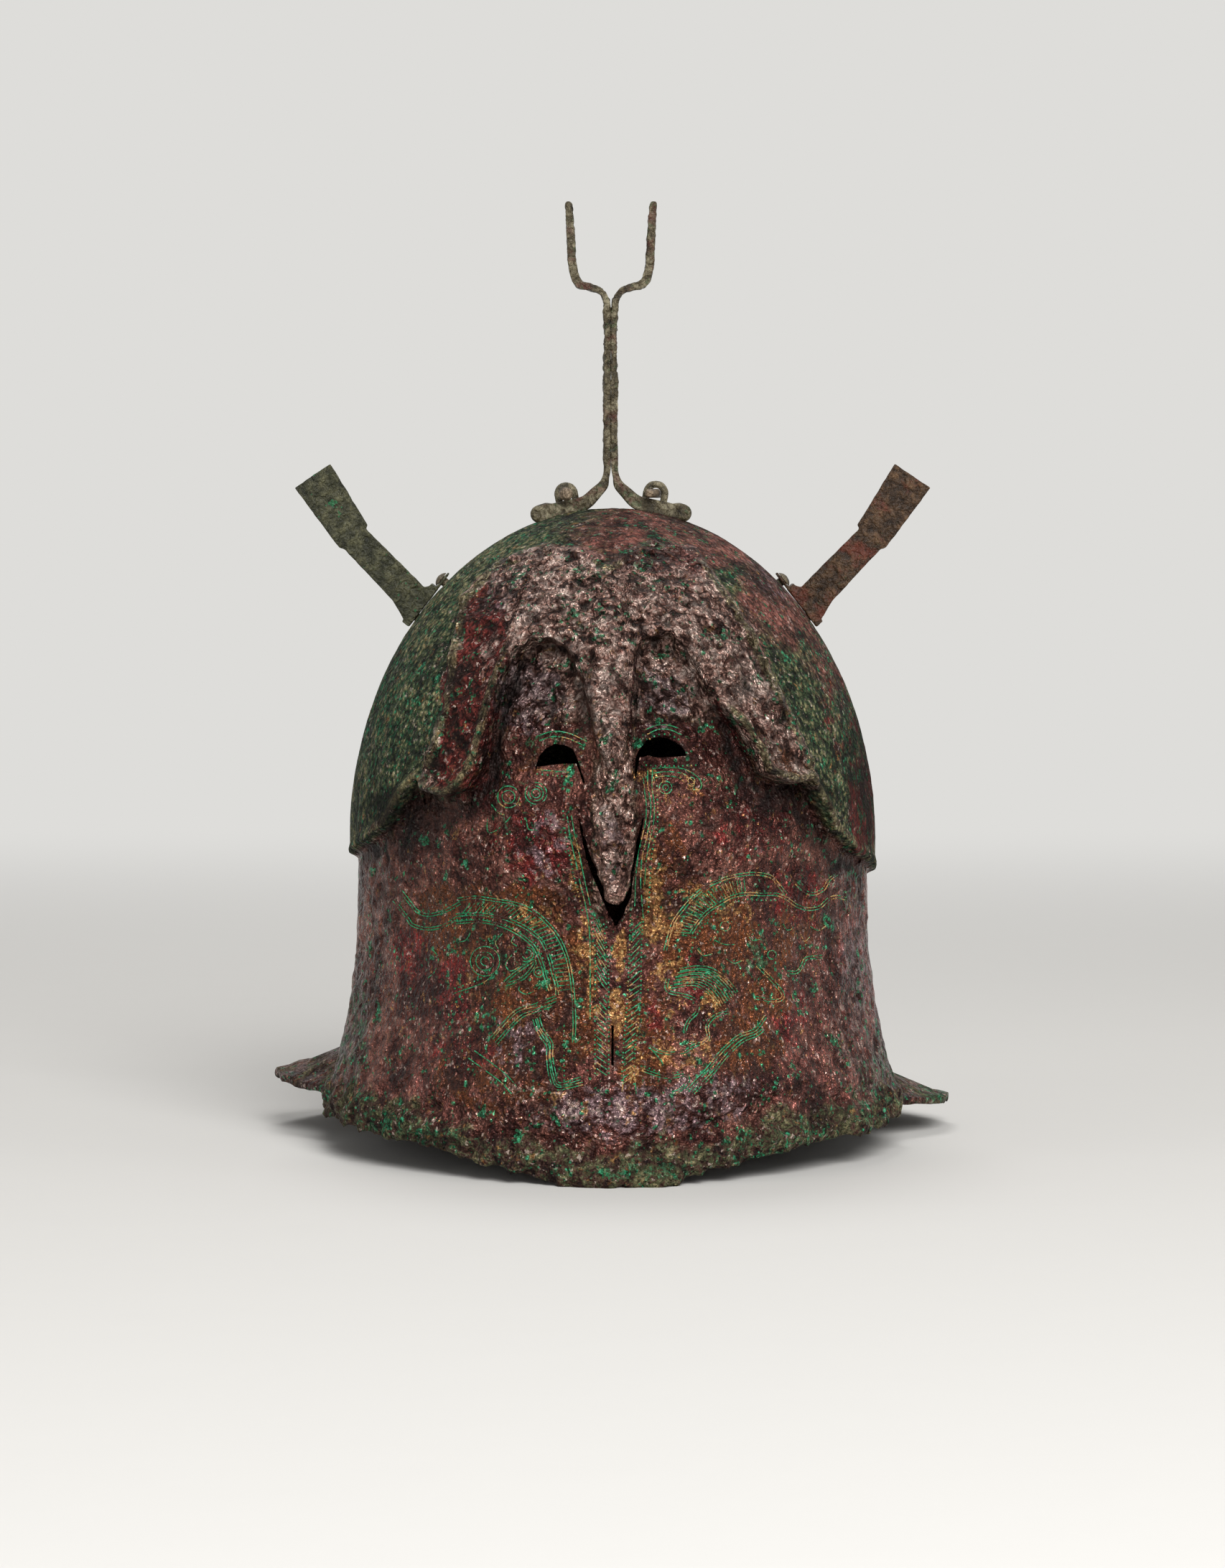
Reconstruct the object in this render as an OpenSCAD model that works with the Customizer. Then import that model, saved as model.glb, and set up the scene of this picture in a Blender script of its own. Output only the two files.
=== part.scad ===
// Bronze helmet of pseudo-Corinthian form, with a forked crest holder and two side holders.
// Millimetres, +Z up. The face looks along -Y and the helmet stands on its rim at Z 0.

/* [Bowl] */
// Width of the bowl over its widest ring
bowl_w = 179; // [168:1:190]
// Length of the bowl from forehead to nape
bowl_l = 226; // [212:1:240]
// Height of the widest ring above the table
ring_z = 105; // [98:1:112]
// Rise of the dome above the widest ring
dome_h = 112; // [104:1:120]
// Thickness of the raised bronze sheet
sheet_t = 1.8; // [1.4:0.1:2.2]

/* [Forehead and brows] */
// How far the two lobes stand out over the mask
lobe_step = 6; // [4:0.5:8]
// How far the brow arches stand out over the eye sockets
brow_step = 5; // [3:0.5:7]
// How far the bowl stands out over the mask at the sides
side_step = 3; // [2:0.5:4]
// Extra swelling of each lobe
lobe_swell = 2.5; // [1:0.5:4]
// Swelling of the two bulges of the forehead
bulge_h = 3; // [1:0.5:5]
// Height of the forehead wing above the bowl around it
wing_h = 1.5; // [0.5:0.5:2.5]
// Extra depth of the eye sockets under the brow arches
socket_d = 2.5; // [1:0.5:4]

/* [Mask] */
// Width of one eye hole
eye_w = 14.6; // [12:0.2:17]
// Height of one eye hole
eye_h = 6.4; // [5:0.2:8]
// Distance of the middle of an eye hole from the nose line
eye_x = 17.2; // [16:0.2:19]
// Height of the eye holes' lower edge above the widest ring
eye_up = 31; // [28:0.5:34]
// Length of the slit that runs down from each eye's inner corner
tear_l = 8; // [5:0.5:9]
// Height of the nose ridge over the cheeks
nose_h = 6.5; // [5:0.5:8]
// Width of the nose guard at the top of its gap
nose_w = 19; // [16:0.5:21]
// Width of the nose guard at its tip
nose_tip_w = 6.4; // [5:0.2:8]
// Distance of the nose guard's tip below the widest ring
nose_down = 14.5; // [12:0.5:17]
// Width of the gap beside the nose guard
gap_w = 1.5; // [1:0.1:2]
// Distance of the gap's pointed lower end below the nose guard's tip
gap_point = 8; // [6:0.5:10]
// Length of the short slot where the cheek guards meet
slot_l = 12.5; // [9:0.5:16]
// Width of that slot
slot_w = 0.8; // [0.6:0.1:1.2]
// Height of that slot's middle above the table
slot_z = 45; // [40:1:50]
// Height of the upright crease down the middle of the cheeks
keel_h = 1.8; // [0.5:0.1:3]

/* [Rim and neck guard] */
// How far the cheeks flare forward at the rim
flare_front = 12; // [8:0.5:16]
// How far the cheeks flare out at the sides
flare_side = 10.5; // [8:0.5:13]
// How far the neck guard reaches out behind the cheeks
neck_side = 42; // [36:1:48]
// How much higher its left end stands than its right one
neck_skew = 9; // [0:0.5:12]
// How far the neck guard reaches back at the nape
neck_back = 36; // [30:1:42]
// Height of the thick band along the front rim
lip_h = 8; // [6:0.5:10]
// How far that band stands out
lip_out = 2.2; // [1:0.2:3]
// Height of the rim at the sides above the table
side_rim_z = 13; // [10:0.5:16]

/* [Crest holder] */
// Distance of the stem from the middle of the bowl
crest_x = -0.5; // [-2:0.1:2]
// Thickness of one strip in the stem
strip_t = 2.2; // [1.8:0.1:2.8]
// Thickness of the feet
foot_t = 4.2; // [3.6:0.1:4.8]
// Width of the strips at the feet
foot_w = 10; // [9:0.5:12]
// Width of the strips along the stem
stem_w = 7; // [5:0.5:8]
// Width of the prongs at their tips
prong_w = 5; // [4:0.5:6]
// Thickness of the prongs
prong_t = 3; // [2.4:0.1:3.6]
// Reach of each foot from the stem
foot_reach = 26.5; // [24:0.5:30]
// Height of the stem's lower split above the dome
split_up = 9.5; // [8:0.5:12]
// Length of the stem from split to fork
stem_l = 64; // [50:1:80]
// Distance between the middles of the prongs at their tips
fork_w = 28.6; // [24:0.2:34]
// Length of the prongs above the fork
prong_l = 31; // [24:1:38]

/* [Staples and pins] */
// Diameter of the staples' wire
wire_d = 2.2; // [1.8:0.1:2.4]
// Diameter of the pins
pin_d = 3.3; // [2.8:0.1:3.6]
// Running clearance round the left pin in its loop
pin_gap = 0.06; // [0.03:0.01:0.1]
// Distance of the staples from the stem
staple_x = 14; // [12.5:0.5:16]
// Diameter of the ball head of the left pin
ball_d = 5; // [4.4:0.2:5.6]
// Length of a pin behind the loop's middle
pin_tail = 7; // [6.5:0.5:9]
// Length of the right pin in front of the loop's middle
pin_nose = 10; // [8:0.5:12]
// Angle at which the right pin lies askew
pin_skew = 13; // [0:1:15]
// Length of the staples' legs that are bent over inside
clench_l = 5; // [3:0.5:7]

/* [Side holders] */
// Height of the middle of the holders' feet above the widest ring
holder_up = 78; // [72:1:82]
// Thickness of the blades
blade_t = 2.2; // [1.6:0.1:2.8]
// Length of the inner part of a blade
blade_in = 30; // [24:1:34]
// Length of the outer part of a blade
blade_out = 26; // [20:1:30]
// Width of a blade just above its foot
blade_root_w = 11; // [9.5:0.5:12.5]
// Width of a blade below its shoulder
blade_neck_w = 10.2; // [9:0.2:11]
// Width of a blade at its tip
blade_tip_w = 14.8; // [13:0.2:17]
// Lean of a blade's inner part from the upright
lean_in = 44; // [40:1:48]
// Lean of a blade's outer part from the upright
lean_out = 34; // [30:1:39]
// Length of a foot along the slope of the dome
base_l = 16.5; // [15:0.5:19]
// Depth of a foot from front to back
base_d = 13; // [12:0.5:15]
// Thickness of a foot
base_t = 3; // [2.4:0.1:3.6]
// Diameter of the rivets' shanks
rivet_d = 3.2; // [2.6:0.1:3.6]
// Diameter of the rivets' heads
rivet_head_d = 6; // [5:0.2:6.6]

/* [Hidden] */

// Clearance of a shank in its hole and of a piece on its seat
fit = 0.1;
seat = 0.2;

// Lower edge of the bowl, as azimuth from the nose line and height above the widest ring
border_left = [[0, 27], [2.5, 35.6], [3.6, 43.6], [5.1, 52.7], [6.7, 59.5], [9.4, 66.3], [12.8, 69],
               [16.9, 69], [20.3, 65.7], [22, 59], [22.9, 50], [23.4, 39], [24.4, 28.5], [26.7, 21.5],
               [29.9, 18.3], [34.1, 18.9], [37.5, 20.5], [40.1, 23], [44.3, 17], [50.1, 7.7],
               [62, 1], [83, -5.4], [110, -9], [180, -10]];
border_right = [[0, 27], [2, 35], [3.2, 47], [4.3, 62], [5.4, 68.7], [9.3, 70.9], [12.5, 70.6],
                [17.1, 60], [19.4, 49], [23.6, 42.4], [26.2, 33.8], [27.4, 26.3], [31.3, 23.8],
                [35.2, 22.1], [39.2, 23.2], [40.9, 20.5], [44.7, 13.2], [48.1, 6], [61, -3],
                [75, -7], [90, -12], [110, -11], [180, -10]];

// Values by azimuth: step under the border, softness of the step, flare, rim height
step_keys = [[0, brow_step - 1], [6, brow_step - 1], [10, brow_step], [20, brow_step], [24, lobe_step],
             [40, lobe_step], [50, (lobe_step + side_step) / 2], [80, side_step], [110, side_step * 0.7],
             [180, side_step * 0.5]];
soft_keys = [[0, 20], [2, 10], [4.3, 1.4], [90, 1.4], [110, 4], [180, 6]];
reach_keys = [[0, flare_front], [60, flare_side], [84, flare_side - 1], [93, flare_side - 1],
              [99, flare_side + 5], [107, neck_side - 10], [117, neck_side], [135, neck_side],
              [180, neck_back]];
top_keys = [[0, 92], [84, 92], [93, 84], [101, 50], [122, 50], [150, 62], [180, 66]];
foot_keys = [[0, 24], [70, 14], [86, 8], [98, 0], [180, 0]];
curve_keys = [[0, 1.8], [84, 2.2], [93, 2.4], [101, 4.4], [122, 4.4], [150, 3.2], [180, 2.8]];
back_rim_z = sheet_t;
rim_keys = [[0, 0], [3, 0], [7, 0.8], [10, 2.3], [16, 6], [21, 6.8], [33, side_rim_z - 2.5],
            [60, side_rim_z], [88, side_rim_z + 0.5], [97, side_rim_z + 2.5], [113, side_rim_z + 3.5],
            [135, side_rim_z * 0.6], [150, back_rim_z], [180, back_rim_z]];
lip_keys = [[0, 1], [84, 1], [96, 0], [180, 0]];

// Rows of the shell between rim and border, and between border and crown
low_rows = 13;
high_rows = 11;
step_half = 0.7;
roll_up = 3.2;

// Middle of each lobe, forehead bulge, socket, wing and end of the neck guard, by azimuth
lobe_left = 31;
lobe_right = 33;
bulge_az = 19;
bulge_up = 78;
socket_az = 13;
wing_az = 36;
wing_up = 99;
guard_az = 113;

function smooth(t) = let (u = min(1, max(0, t))) u * u * (3 - 2 * u);
function bell(t) = exp(-t * t);
function by_az(az, keys) = lookup(abs(az), keys);
function border_z(az) = ring_z + lookup(abs(az), az < 0 ? border_left : border_right);
function rim_z(az) =
    by_az(az, rim_keys) + (az < 0 ? 0.5 : -0.5) * neck_skew * bell((abs(az) - guard_az) / 15);

// Radius of the smooth wall at an azimuth and a height, without steps and swellings
function plan_r(az) = 1 / sqrt(pow(sin(az) * 2 / bowl_w, 2) + pow(cos(az) * 2 / bowl_l, 2));
function flare(az, z) =
    let (top = by_az(az, top_keys),
         foot = rim_z(az) + by_az(az, foot_keys),
         u = min(1, max(0, (top - z) / (top - foot))))
    by_az(az, reach_keys) * pow(u, by_az(az, curve_keys));
function wall_r(az, z) =
    let (rise = max(0, z - ring_z) / dome_h)
    plan_r(az) * sqrt(max(0, 1 - rise * rise)) + flare(az, z);

// Unit normal of that wall in the upright plane through the azimuth
function wall_normal(az, z) =
    let (lo = max(rim_z(az), z - 0.5),
         hi = min(ring_z + dome_h - 0.01, z + 0.5),
         slope = (wall_r(az, hi) - wall_r(az, lo)) / (hi - lo))
    [1, -slope] / norm([1, slope]);

// Nose ridge, keel, sockets, lobes, bulges and wing
function nose_half(z) = lookup(z - ring_z, [[-nose_down, nose_tip_w * 0.75], [8, nose_w * 0.5],
                                             [25, nose_w * 0.42], [45, nose_w * 0.36]]);
function nose(x, z) =
    nose_h * exp(-pow(abs(x) / nose_half(z), 3))
    * smooth((z - ring_z + nose_down + gap_point - 2) / gap_point)
    * (1 - smooth((z - ring_z - 22) / 26));
function keel(x, z) = keel_h * bell(x / 7) * (1 - smooth((z - ring_z + 38) / 20));
function socket(az, down) =
    -socket_d * bell((abs(az) - socket_az) / 7) * smooth(down / 5) * (1 - smooth(down / 30));
function lobe(az, up) =
    lobe_swell * bell((abs(az) - (az < 0 ? lobe_left : lobe_right)) / 8) * bell(up / 24);
function bulge(az, z) = bulge_h * bell((abs(az) - bulge_az) / 11) * bell((z - ring_z - bulge_up) / 18);
function wing(az, z) =
    wing_h * (1 - smooth((abs(az) - wing_az) / 5))
    * (1 - smooth((z - ring_z - wing_up + 7 * bell(az / 7)) / 5));
function relief(az, z, raised, edge) =
    let (x = wall_r(az, z) * sin(az))
    -by_az(az, step_keys) * (1 - raised) + nose(x, z) * (abs(az) < 20 ? 1 : 0)
    + (abs(az) < 30 ? keel(x, z) : 0) + socket(az, edge - z) * (1 - raised)
    + (lobe(az, max(0, z - edge)) + wing(az, z)) * raised + bulge(az, z) * raised;

function lip(az, z) = lip_out * by_az(az, lip_keys) * (1 - smooth((z - rim_z(az)) / lip_h - 0.5));
function outer_r(az, z) =
    let (edge = border_z(az),
         soft = by_az(az, soft_keys))
    wall_r(az, z) + relief(az, z, smooth((z - edge) / soft + 0.5), edge) + lip(az, z);
function inner_edge(az) = max(border_z(az - 1.2), border_z(az), border_z(az + 1.2)) + sheet_t * 1.2;
function inner_point(az, z) =
    let (n = wall_normal(az, z),
         edge = inner_edge(az),
         lift = relief(az, z, smooth((z - edge) / 5), border_z(az)))
    [wall_r(az, z) + lift - sheet_t * n[0], z - sheet_t * n[1]];

function turned(az, r, z) = [r * sin(az), -r * cos(az), z];

// Heights of the rows of one column, from the rim to just under the crown
function rows(az) =
    let (rim = rim_z(az),
         edge = border_z(az),
         start = rim + lip_h,
         up = asin((edge + roll_up - ring_z) / dome_h))
    concat([rim, rim + lip_h / 2, start],
           [for (i = [1:low_rows]) start + (edge - step_half - start) * i / low_rows],
           [edge + step_half],
           [for (i = [0:high_rows - 1]) ring_z + dome_h * sin(up + (90 - up) * i / high_rows)]);

// Columns follow the corners of the border, with more between them where they lie far apart
function between(a, b, most) = let (n = ceil((b - a) / most)) [for (i = [0:n - 1]) a + (b - a) * i / n];
function side_columns(keys, most) =
    [for (i = [0:len(keys) - 2]) each between(keys[i][0], keys[i + 1][0],
                                              keys[i][0] < 50 ? most : keys[i][0] < 105 ? 5 : 9)];
right_columns = side_columns(border_right, 2);
left_columns = side_columns(border_left, 2);
columns = concat(right_columns, [180],
                 [for (i = [len(left_columns) - 1:-1:1]) -left_columns[i]]);

// The plan is moved so that the standing helmet is centred over the origin
front_reach = max([for (z = rows(0)) outer_r(0, z)]);
back_reach = outer_r(180, rim_z(180));
shift_y = (front_reach - back_reach) / 2;

module placed() translate([0, shift_y, 0]) children();

module bronze_sheet() {
    cols = len(columns);
    count = len(rows(0));
    outer = [for (az = columns, z = rows(az)) turned(az, outer_r(az, z), z)];
    inner = [for (az = columns, z = rows(az)) let (p = inner_point(az, z)) turned(az, p[0], p[1])];
    total = cols * count;
    crown = [[0, 0, ring_z + dome_h], [0, 0, ring_z + dome_h - sheet_t]];
    outside = [for (c = [0:cols - 1], r = [0:count - 2])
        let (a = c * count + r, b = ((c + 1) % cols) * count + r)
        each [[a, b, b + 1], [a, b + 1, a + 1]]];
    inside = [for (f = outside) [f[0] + total, f[2] + total, f[1] + total]];
    edge = [for (c = [0:cols - 1])
        let (a = c * count, b = ((c + 1) % cols) * count)
        each [[a, a + total, b + total], [a, b + total, b]]];
    caps = [for (c = [0:cols - 1])
        let (a = c * count + count - 1, b = ((c + 1) % cols) * count + count - 1)
        each [[a, b, 2 * total], [a + total, 2 * total + 1, b + total]]];
    faces = concat(outside, inside, edge, caps);
    polyhedron(concat(outer, inner, crown), [for (f = faces) [f[0], f[2], f[1]]]);
}

// A cut through the front wall only, drawn as seen from the front
module front_cut(outline) {
    rotate([90, 0, 0])
        translate([0, 0, bowl_l / 4])
            linear_extrude(bowl_l / 2)
                polygon(outline);
}

// The left eye sits lower than the right one and slopes more
eye_skew = 1.4;
eye_tilt_left = 8;
eye_tilt_right = -2;
function turn2(p, a) = [p[0] * cos(a) - p[1] * sin(a), p[0] * sin(a) + p[1] * cos(a)];
module eye_cut(side) {
    tilt = side < 0 ? eye_tilt_left : eye_tilt_right;
    middle = [side * eye_x, ring_z + eye_up + side * eye_skew];
    front_cut([for (i = [0:16]) middle + turn2([eye_w / 2 * cos(i * 11.25), eye_h * sin(i * 11.25)], tilt)]);
    inner = middle + turn2([-side * eye_w / 2, 0], tilt);
    front_cut([inner + [side * 0.6, 0.4], inner + [-side * 0.9, 0.2],
               inner + [-side * 1.5, -tear_l], inner + [-side * 1.2, -tear_l]]);
}

nose_top_z = ring_z + 12;
nose_tip_z = ring_z - nose_down;
module nose_gap() {
    tip = [for (i = [0:8]) [nose_tip_w / 2 * cos(180 + i * 22.5), nose_tip_z + 1.6 + 1.6 * sin(180 + i * 22.5)]];
    front_cut(concat([[-nose_w / 2, nose_top_z]], tip, [[nose_w / 2, nose_top_z],
                      [nose_w / 2 + gap_w * 0.4, nose_top_z + 0.8],
                      [nose_tip_w / 2 + gap_w, nose_tip_z + 1.6], [0.3, nose_tip_z - gap_point],
                      [-0.3, nose_tip_z - gap_point],
                      [-nose_tip_w / 2 - gap_w, nose_tip_z + 1.6],
                      [-nose_w / 2 - gap_w * 0.4, nose_top_z + 0.8]]));
}

module cheek_slot() {
    front_cut([[-slot_w / 2, slot_z - slot_l / 2], [slot_w / 2, slot_z - slot_l / 2],
               [slot_w / 2, slot_z + slot_l / 2], [-slot_w / 2, slot_z + slot_l / 2]]);
}

// Point and lean of the dome over the middle line, at a distance from its crown
function dome_z(x) = ring_z + dome_h * sqrt(1 - pow(2 * x / bowl_w, 2));
function dome_lean(x) = atan(dome_h * dome_h * x * 4 / (bowl_w * bowl_w * (dome_z(x) - ring_z)));

// Frame on the dome in the plane of the crest: X along the slope, Z out of the metal
module on_dome(x) translate([x, 0, dome_z(x)]) rotate([0, dome_lean(x), 0]) children();

loop_in_left = pin_d / 2 + pin_gap;
loop_in_right = loop_in_left + 0.3;
function loop_in(side) = side < 0 ? loop_in_left : loop_in_right;
function leg_x(side) = loop_in(side) + wire_d / 2;
pin_up = seat + foot_t + pin_d / 2 + 0.4;
function staple_at(side) = crest_x + side * staple_x;

module staple_holes(side) {
    on_dome(staple_at(side))
        for (s = [-1, 1])
            translate([s * leg_x(side), 0, -8])
                cylinder(d = wire_d + 2 * fit, h = 12, $fn = 32);
}

// Middle of a side holder's foot on the dome
holder_x = bowl_w / 2 * sqrt(1 - pow(holder_up / dome_h, 2));
lug_l = 7;
lug_t = 1;
rivet_top_x = -base_l / 2 - lug_l / 2 + 0.5;
rivet_low_x = base_l / 4;
rivet_y = base_d * 0.6;
// How far the blade's lower corners lie inside the foot
tuck = 0.4;
// Room under the curved sheet for the flat top of a hammered head
under_gap = 0.6;
// Rivets of one holder: place along the slope, place from front to back, height of the metal under the head
rivets = [[rivet_top_x, lug_l / 2 - blade_t / 2, lug_t], [rivet_low_x, rivet_y, base_t]];

module on_side(side) {
    mirror([side < 0 ? 1 : 0, 0, 0])
        on_dome(holder_x)
            children();
}

module rivet_holes(side) {
    on_side(side)
        for (r = rivets)
            translate([r[0], r[1], -8])
                cylinder(d = rivet_d + 2 * fit, h = 16, $fn = 32);
}

module helmet_shell() {
    color("rosybrown")
        placed()
            difference() {
                bronze_sheet();
                eye_cut(-1);
                eye_cut(1);
                nose_gap();
                cheek_slot();
                staple_holes(-1);
                staple_holes(1);
                rivet_holes(-1);
                rivet_holes(1);
            }
}

// Smooth curve through points that hold a place and a thickness
function flat(p) = [p[0], p[1]];
function pace(p, i) =
    let (a = max(0, i - 1), c = min(len(p) - 1, i + 1),
         d1 = max(0.01, norm(flat(p[i] - p[a]))), d2 = max(0.01, norm(flat(p[c] - p[i]))))
    ((p[c] - p[i]) * d1 / d2 + (p[i] - p[a]) * d2 / d1) / (d1 + d2);
function spline_at(p, i, t) =
    let (run = norm(flat(p[i + 1] - p[i])))
    (1 - 3 * t * t + 2 * t * t * t) * p[i] + (t - 2 * t * t + t * t * t) * run * pace(p, i)
    + (3 * t * t - 2 * t * t * t) * p[i + 1] + (t * t * t - t * t) * run * pace(p, i + 1);
function spline(p, n) = concat([for (i = [0:len(p) - 2], k = [0:n - 1]) spline_at(p, i, k / n)],
                               [p[len(p) - 1]]);
function side_of(c, i, s) =
    let (a = flat(c[max(0, i - 1)]), b = flat(c[min(len(c) - 1, i + 1)]), t = (b - a) / norm(b - a))
    flat(c[i]) + s * c[i][2] / 2 * [-t[1], t[0]];
function round_end(c, i, s) =
    let (a = side_of(c, i, s) - flat(c[i]))
    [for (k = [1:5]) flat(c[i]) + turn2(a, -k * 30)];
function band(c) =
    concat([for (i = [0:len(c) - 1]) side_of(c, i, 1)], round_end(c, len(c) - 1, 1),
           [for (i = [len(c) - 1:-1:0]) side_of(c, i, -1)], round_end(c, 0, -1));

split_z = dome_z(0) + split_up;
fork_z = split_z + stem_l;
tip_z = fork_z + prong_l;
function foot_mid(x) = dome_z(crest_x + x) + (foot_t / 2 + seat) / cos(dome_lean(crest_x + x));

// Run of one strip from the end of its foot to the tip of its prong, side -1 or 1
function strip_run(side) = [
    for (x = [foot_reach - foot_t / 2, foot_reach * 0.72, foot_reach * 0.5])
        [side * x, foot_mid(side * x), foot_t],
    [side * foot_reach * 0.34, foot_mid(side * foot_reach * 0.34) + 0.6, foot_t - 0.3],
    [side * (strip_t / 2 + 4.4), split_z - 3.9, (foot_t + strip_t) / 2],
    [side * (strip_t / 2 + 1.5), split_z - 0.8, strip_t * 1.1],
    [side * (strip_t / 2 + 0.2), split_z + 3, strip_t],
    [side * strip_t / 2, split_z + 8, strip_t],
    [side * strip_t / 2, split_z + stem_l / 2, strip_t],
    [side * strip_t / 2, fork_z - 7, strip_t],
    [side * (strip_t / 2 + 0.4), fork_z - 3, strip_t],
    [side * (strip_t / 2 + 2.4), fork_z + 0.1, strip_t],
    [side * fork_w * 0.24, fork_z + 1.5, (strip_t + prong_t) / 2],
    [side * fork_w * 0.38, fork_z + 2.6, prong_t],
    [side * fork_w * 0.45, fork_z + 7.5, prong_t],
    [side * fork_w * 0.47, fork_z + prong_l / 2, prong_t],
    [side * (fork_w / 2), tip_z - prong_t / 2, prong_t * 0.85]];

module strip_outline(side) {
    intersection() {
        translate([crest_x, 0, 0])
            rotate([90, 0, 0])
                linear_extrude(foot_w, center = true)
                    polygon(band(spline(strip_run(side), 3)));
        translate([crest_x + (side < 0 ? -100 : 0), -50, 0])
            cube([100, 100, tip_z + 50]);
        // Side view: wide at the feet, slimmer up the stem and at the prongs
        rotate([90, 0, 90])
            linear_extrude(200, center = true)
                polygon([[-foot_w / 2, ring_z], [foot_w / 2, ring_z], [foot_w / 2, split_z - 6],
                         [stem_w / 2, split_z + 4], [stem_w / 2, fork_z],
                         [prong_w / 2, tip_z], [-prong_w / 2, tip_z],
                         [-stem_w / 2, fork_z], [-stem_w / 2, split_z + 4], [-foot_w / 2, split_z - 6]]);
    }
}

// Slot in a foot, through which the loop stands up
module foot_slot(side) {
    half = leg_x(side);
    wide = wire_d + 4 * fit;
    on_dome(staple_at(side)) {
        translate([-half, -wide / 2, -2])
            cube([2 * half, wide, foot_t + 8]);
        for (s = [-1, 1])
            translate([s * half, 0, -2])
                cylinder(d = wide, h = foot_t + 8, $fn = 32);
    }
}

module crest_strip(side) {
    placed()
        difference() {
            strip_outline(side);
            foot_slot(side);
        }
}

module crest_strip_left() color("darkkhaki") crest_strip(-1);
module crest_strip_right() color("darkkhaki") crest_strip(1);

// A bent wire: half a ring over two legs, whose ends are bent outwards under the sheet
module crest_staple(side) {
    half = leg_x(side);
    bend_z = -sheet_t - seat - wire_d / 2 - 0.3;
    placed()
        on_dome(staple_at(side)) {
            translate([0, 0, pin_up])
                rotate([90, 0, 0])
                    rotate_extrude(angle = 180, $fn = 48)
                        translate([half, 0])
                            circle(d = wire_d, $fn = 24);
            for (s = [-1, 1])
                translate([s * half, 0, bend_z]) {
                    cylinder(d = wire_d, h = pin_up - bend_z, $fn = 24);
                    sphere(d = wire_d, $fn = 24);
                    rotate([0, s * 98, 0])
                        cylinder(d1 = wire_d, d2 = wire_d * 0.7, h = clench_l, $fn = 24);
                }
        }
}

module crest_staple_left() color("olive") crest_staple(-1);
module crest_staple_right() color("olive") crest_staple(1);

// Level frame in the middle of a loop
module in_loop(side) {
    lean = dome_lean(staple_at(side));
    placed()
        translate([staple_at(side) + pin_up * sin(lean), 0, dome_z(staple_at(side)) + pin_up * cos(lean)])
            children();
}

module crest_pin_left() {
    color("darkolivegreen")
        in_loop(-1)
            rotate([90, 0, 0]) {
                translate([0, 0, -pin_tail])
                    cylinder(d = pin_d, h = pin_tail + foot_w / 2 + ball_d / 2, $fn = 32);
                translate([0, 0, -pin_tail])
                    sphere(d = pin_d, $fn = 32);
                translate([0, 0, foot_w / 2 + ball_d / 2 + 0.2])
                    sphere(d = ball_d, $fn = 32);
            }
}

module crest_pin_right() {
    color("darkolivegreen")
        in_loop(1)
            rotate([90, 0, -pin_skew]) {
                translate([0, 0, -pin_tail])
                    cylinder(d = pin_d, h = pin_tail + pin_nose, $fn = 32);
                translate([0, 0, -pin_tail])
                    sphere(d = pin_d, $fn = 32);
                translate([0, 0, pin_nose])
                    sphere(d = pin_d, $fn = 32);
            }
}

// Outline of a blade as seen from the front, in the frame of its foot: X down the slope, Y outwards
function blade_outline() =
    let (tilt = dome_lean(holder_x),
         up1 = 90 - lean_in + tilt - 90, up2 = 90 - lean_out + tilt - 90,
         d1 = [cos(90 + up1), sin(90 + up1)], n1 = [-d1[1], d1[0]],
         d2 = [cos(90 + up2), sin(90 + up2)], n2 = [-d2[1], d2[0]],
         root = [0, base_t + seat],
         neck = root + d1 * blade_in, tip = neck + d2 * blade_out,
         shoulder = (blade_neck_w + blade_tip_w) / 2)
    [[base_l / 2 - tuck, seat + tuck], [base_l / 2 - tuck, base_t * 0.6],
     root + d1 * blade_root_w * 0.55 - n1 * blade_root_w / 2,
     neck - n1 * blade_neck_w / 2, neck - n2 * shoulder / 2 + d2 * 0.5,
     tip - n2 * blade_tip_w / 2, tip + n2 * blade_tip_w / 2,
     neck + n2 * shoulder / 2 + d2 * 1.5, neck + n1 * blade_neck_w / 2,
     root + d1 * blade_root_w * 0.75 + n1 * blade_root_w / 2,
     [-base_l / 2 + 2.5, base_t + seat + 1.2], [-base_l / 2 + tuck, base_t + seat - tuck],
     [-base_l / 2 + tuck, seat + tuck]];

module side_holder(side) {
    placed()
        on_side(side)
            difference() {
                union() {
                    translate([0, blade_t / 2, 0])
                        rotate([90, 0, 0])
                            linear_extrude(blade_t)
                                polygon(blade_outline());
                    translate([-base_l / 2, -blade_t / 2, seat])
                        cube([base_l, base_d, base_t]);
                    translate([-base_l / 2 - lug_l / 2 + 0.5, lug_l / 2 - blade_t / 2, seat]) {
                        cylinder(d = lug_l, h = lug_t, $fn = 32);
                        translate([0, -lug_l / 2, 0])
                            cube([lug_l / 2 + 1, lug_l, lug_t]);
                    }
                }
                for (r = rivets)
                    translate([r[0], r[1], -2])
                        cylinder(d = rivet_d + 2 * fit, h = 12, $fn = 32);
            }
}

module side_holder_left() color("darkkhaki") side_holder(-1);
module side_holder_right() color("sienna") side_holder(1);

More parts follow.
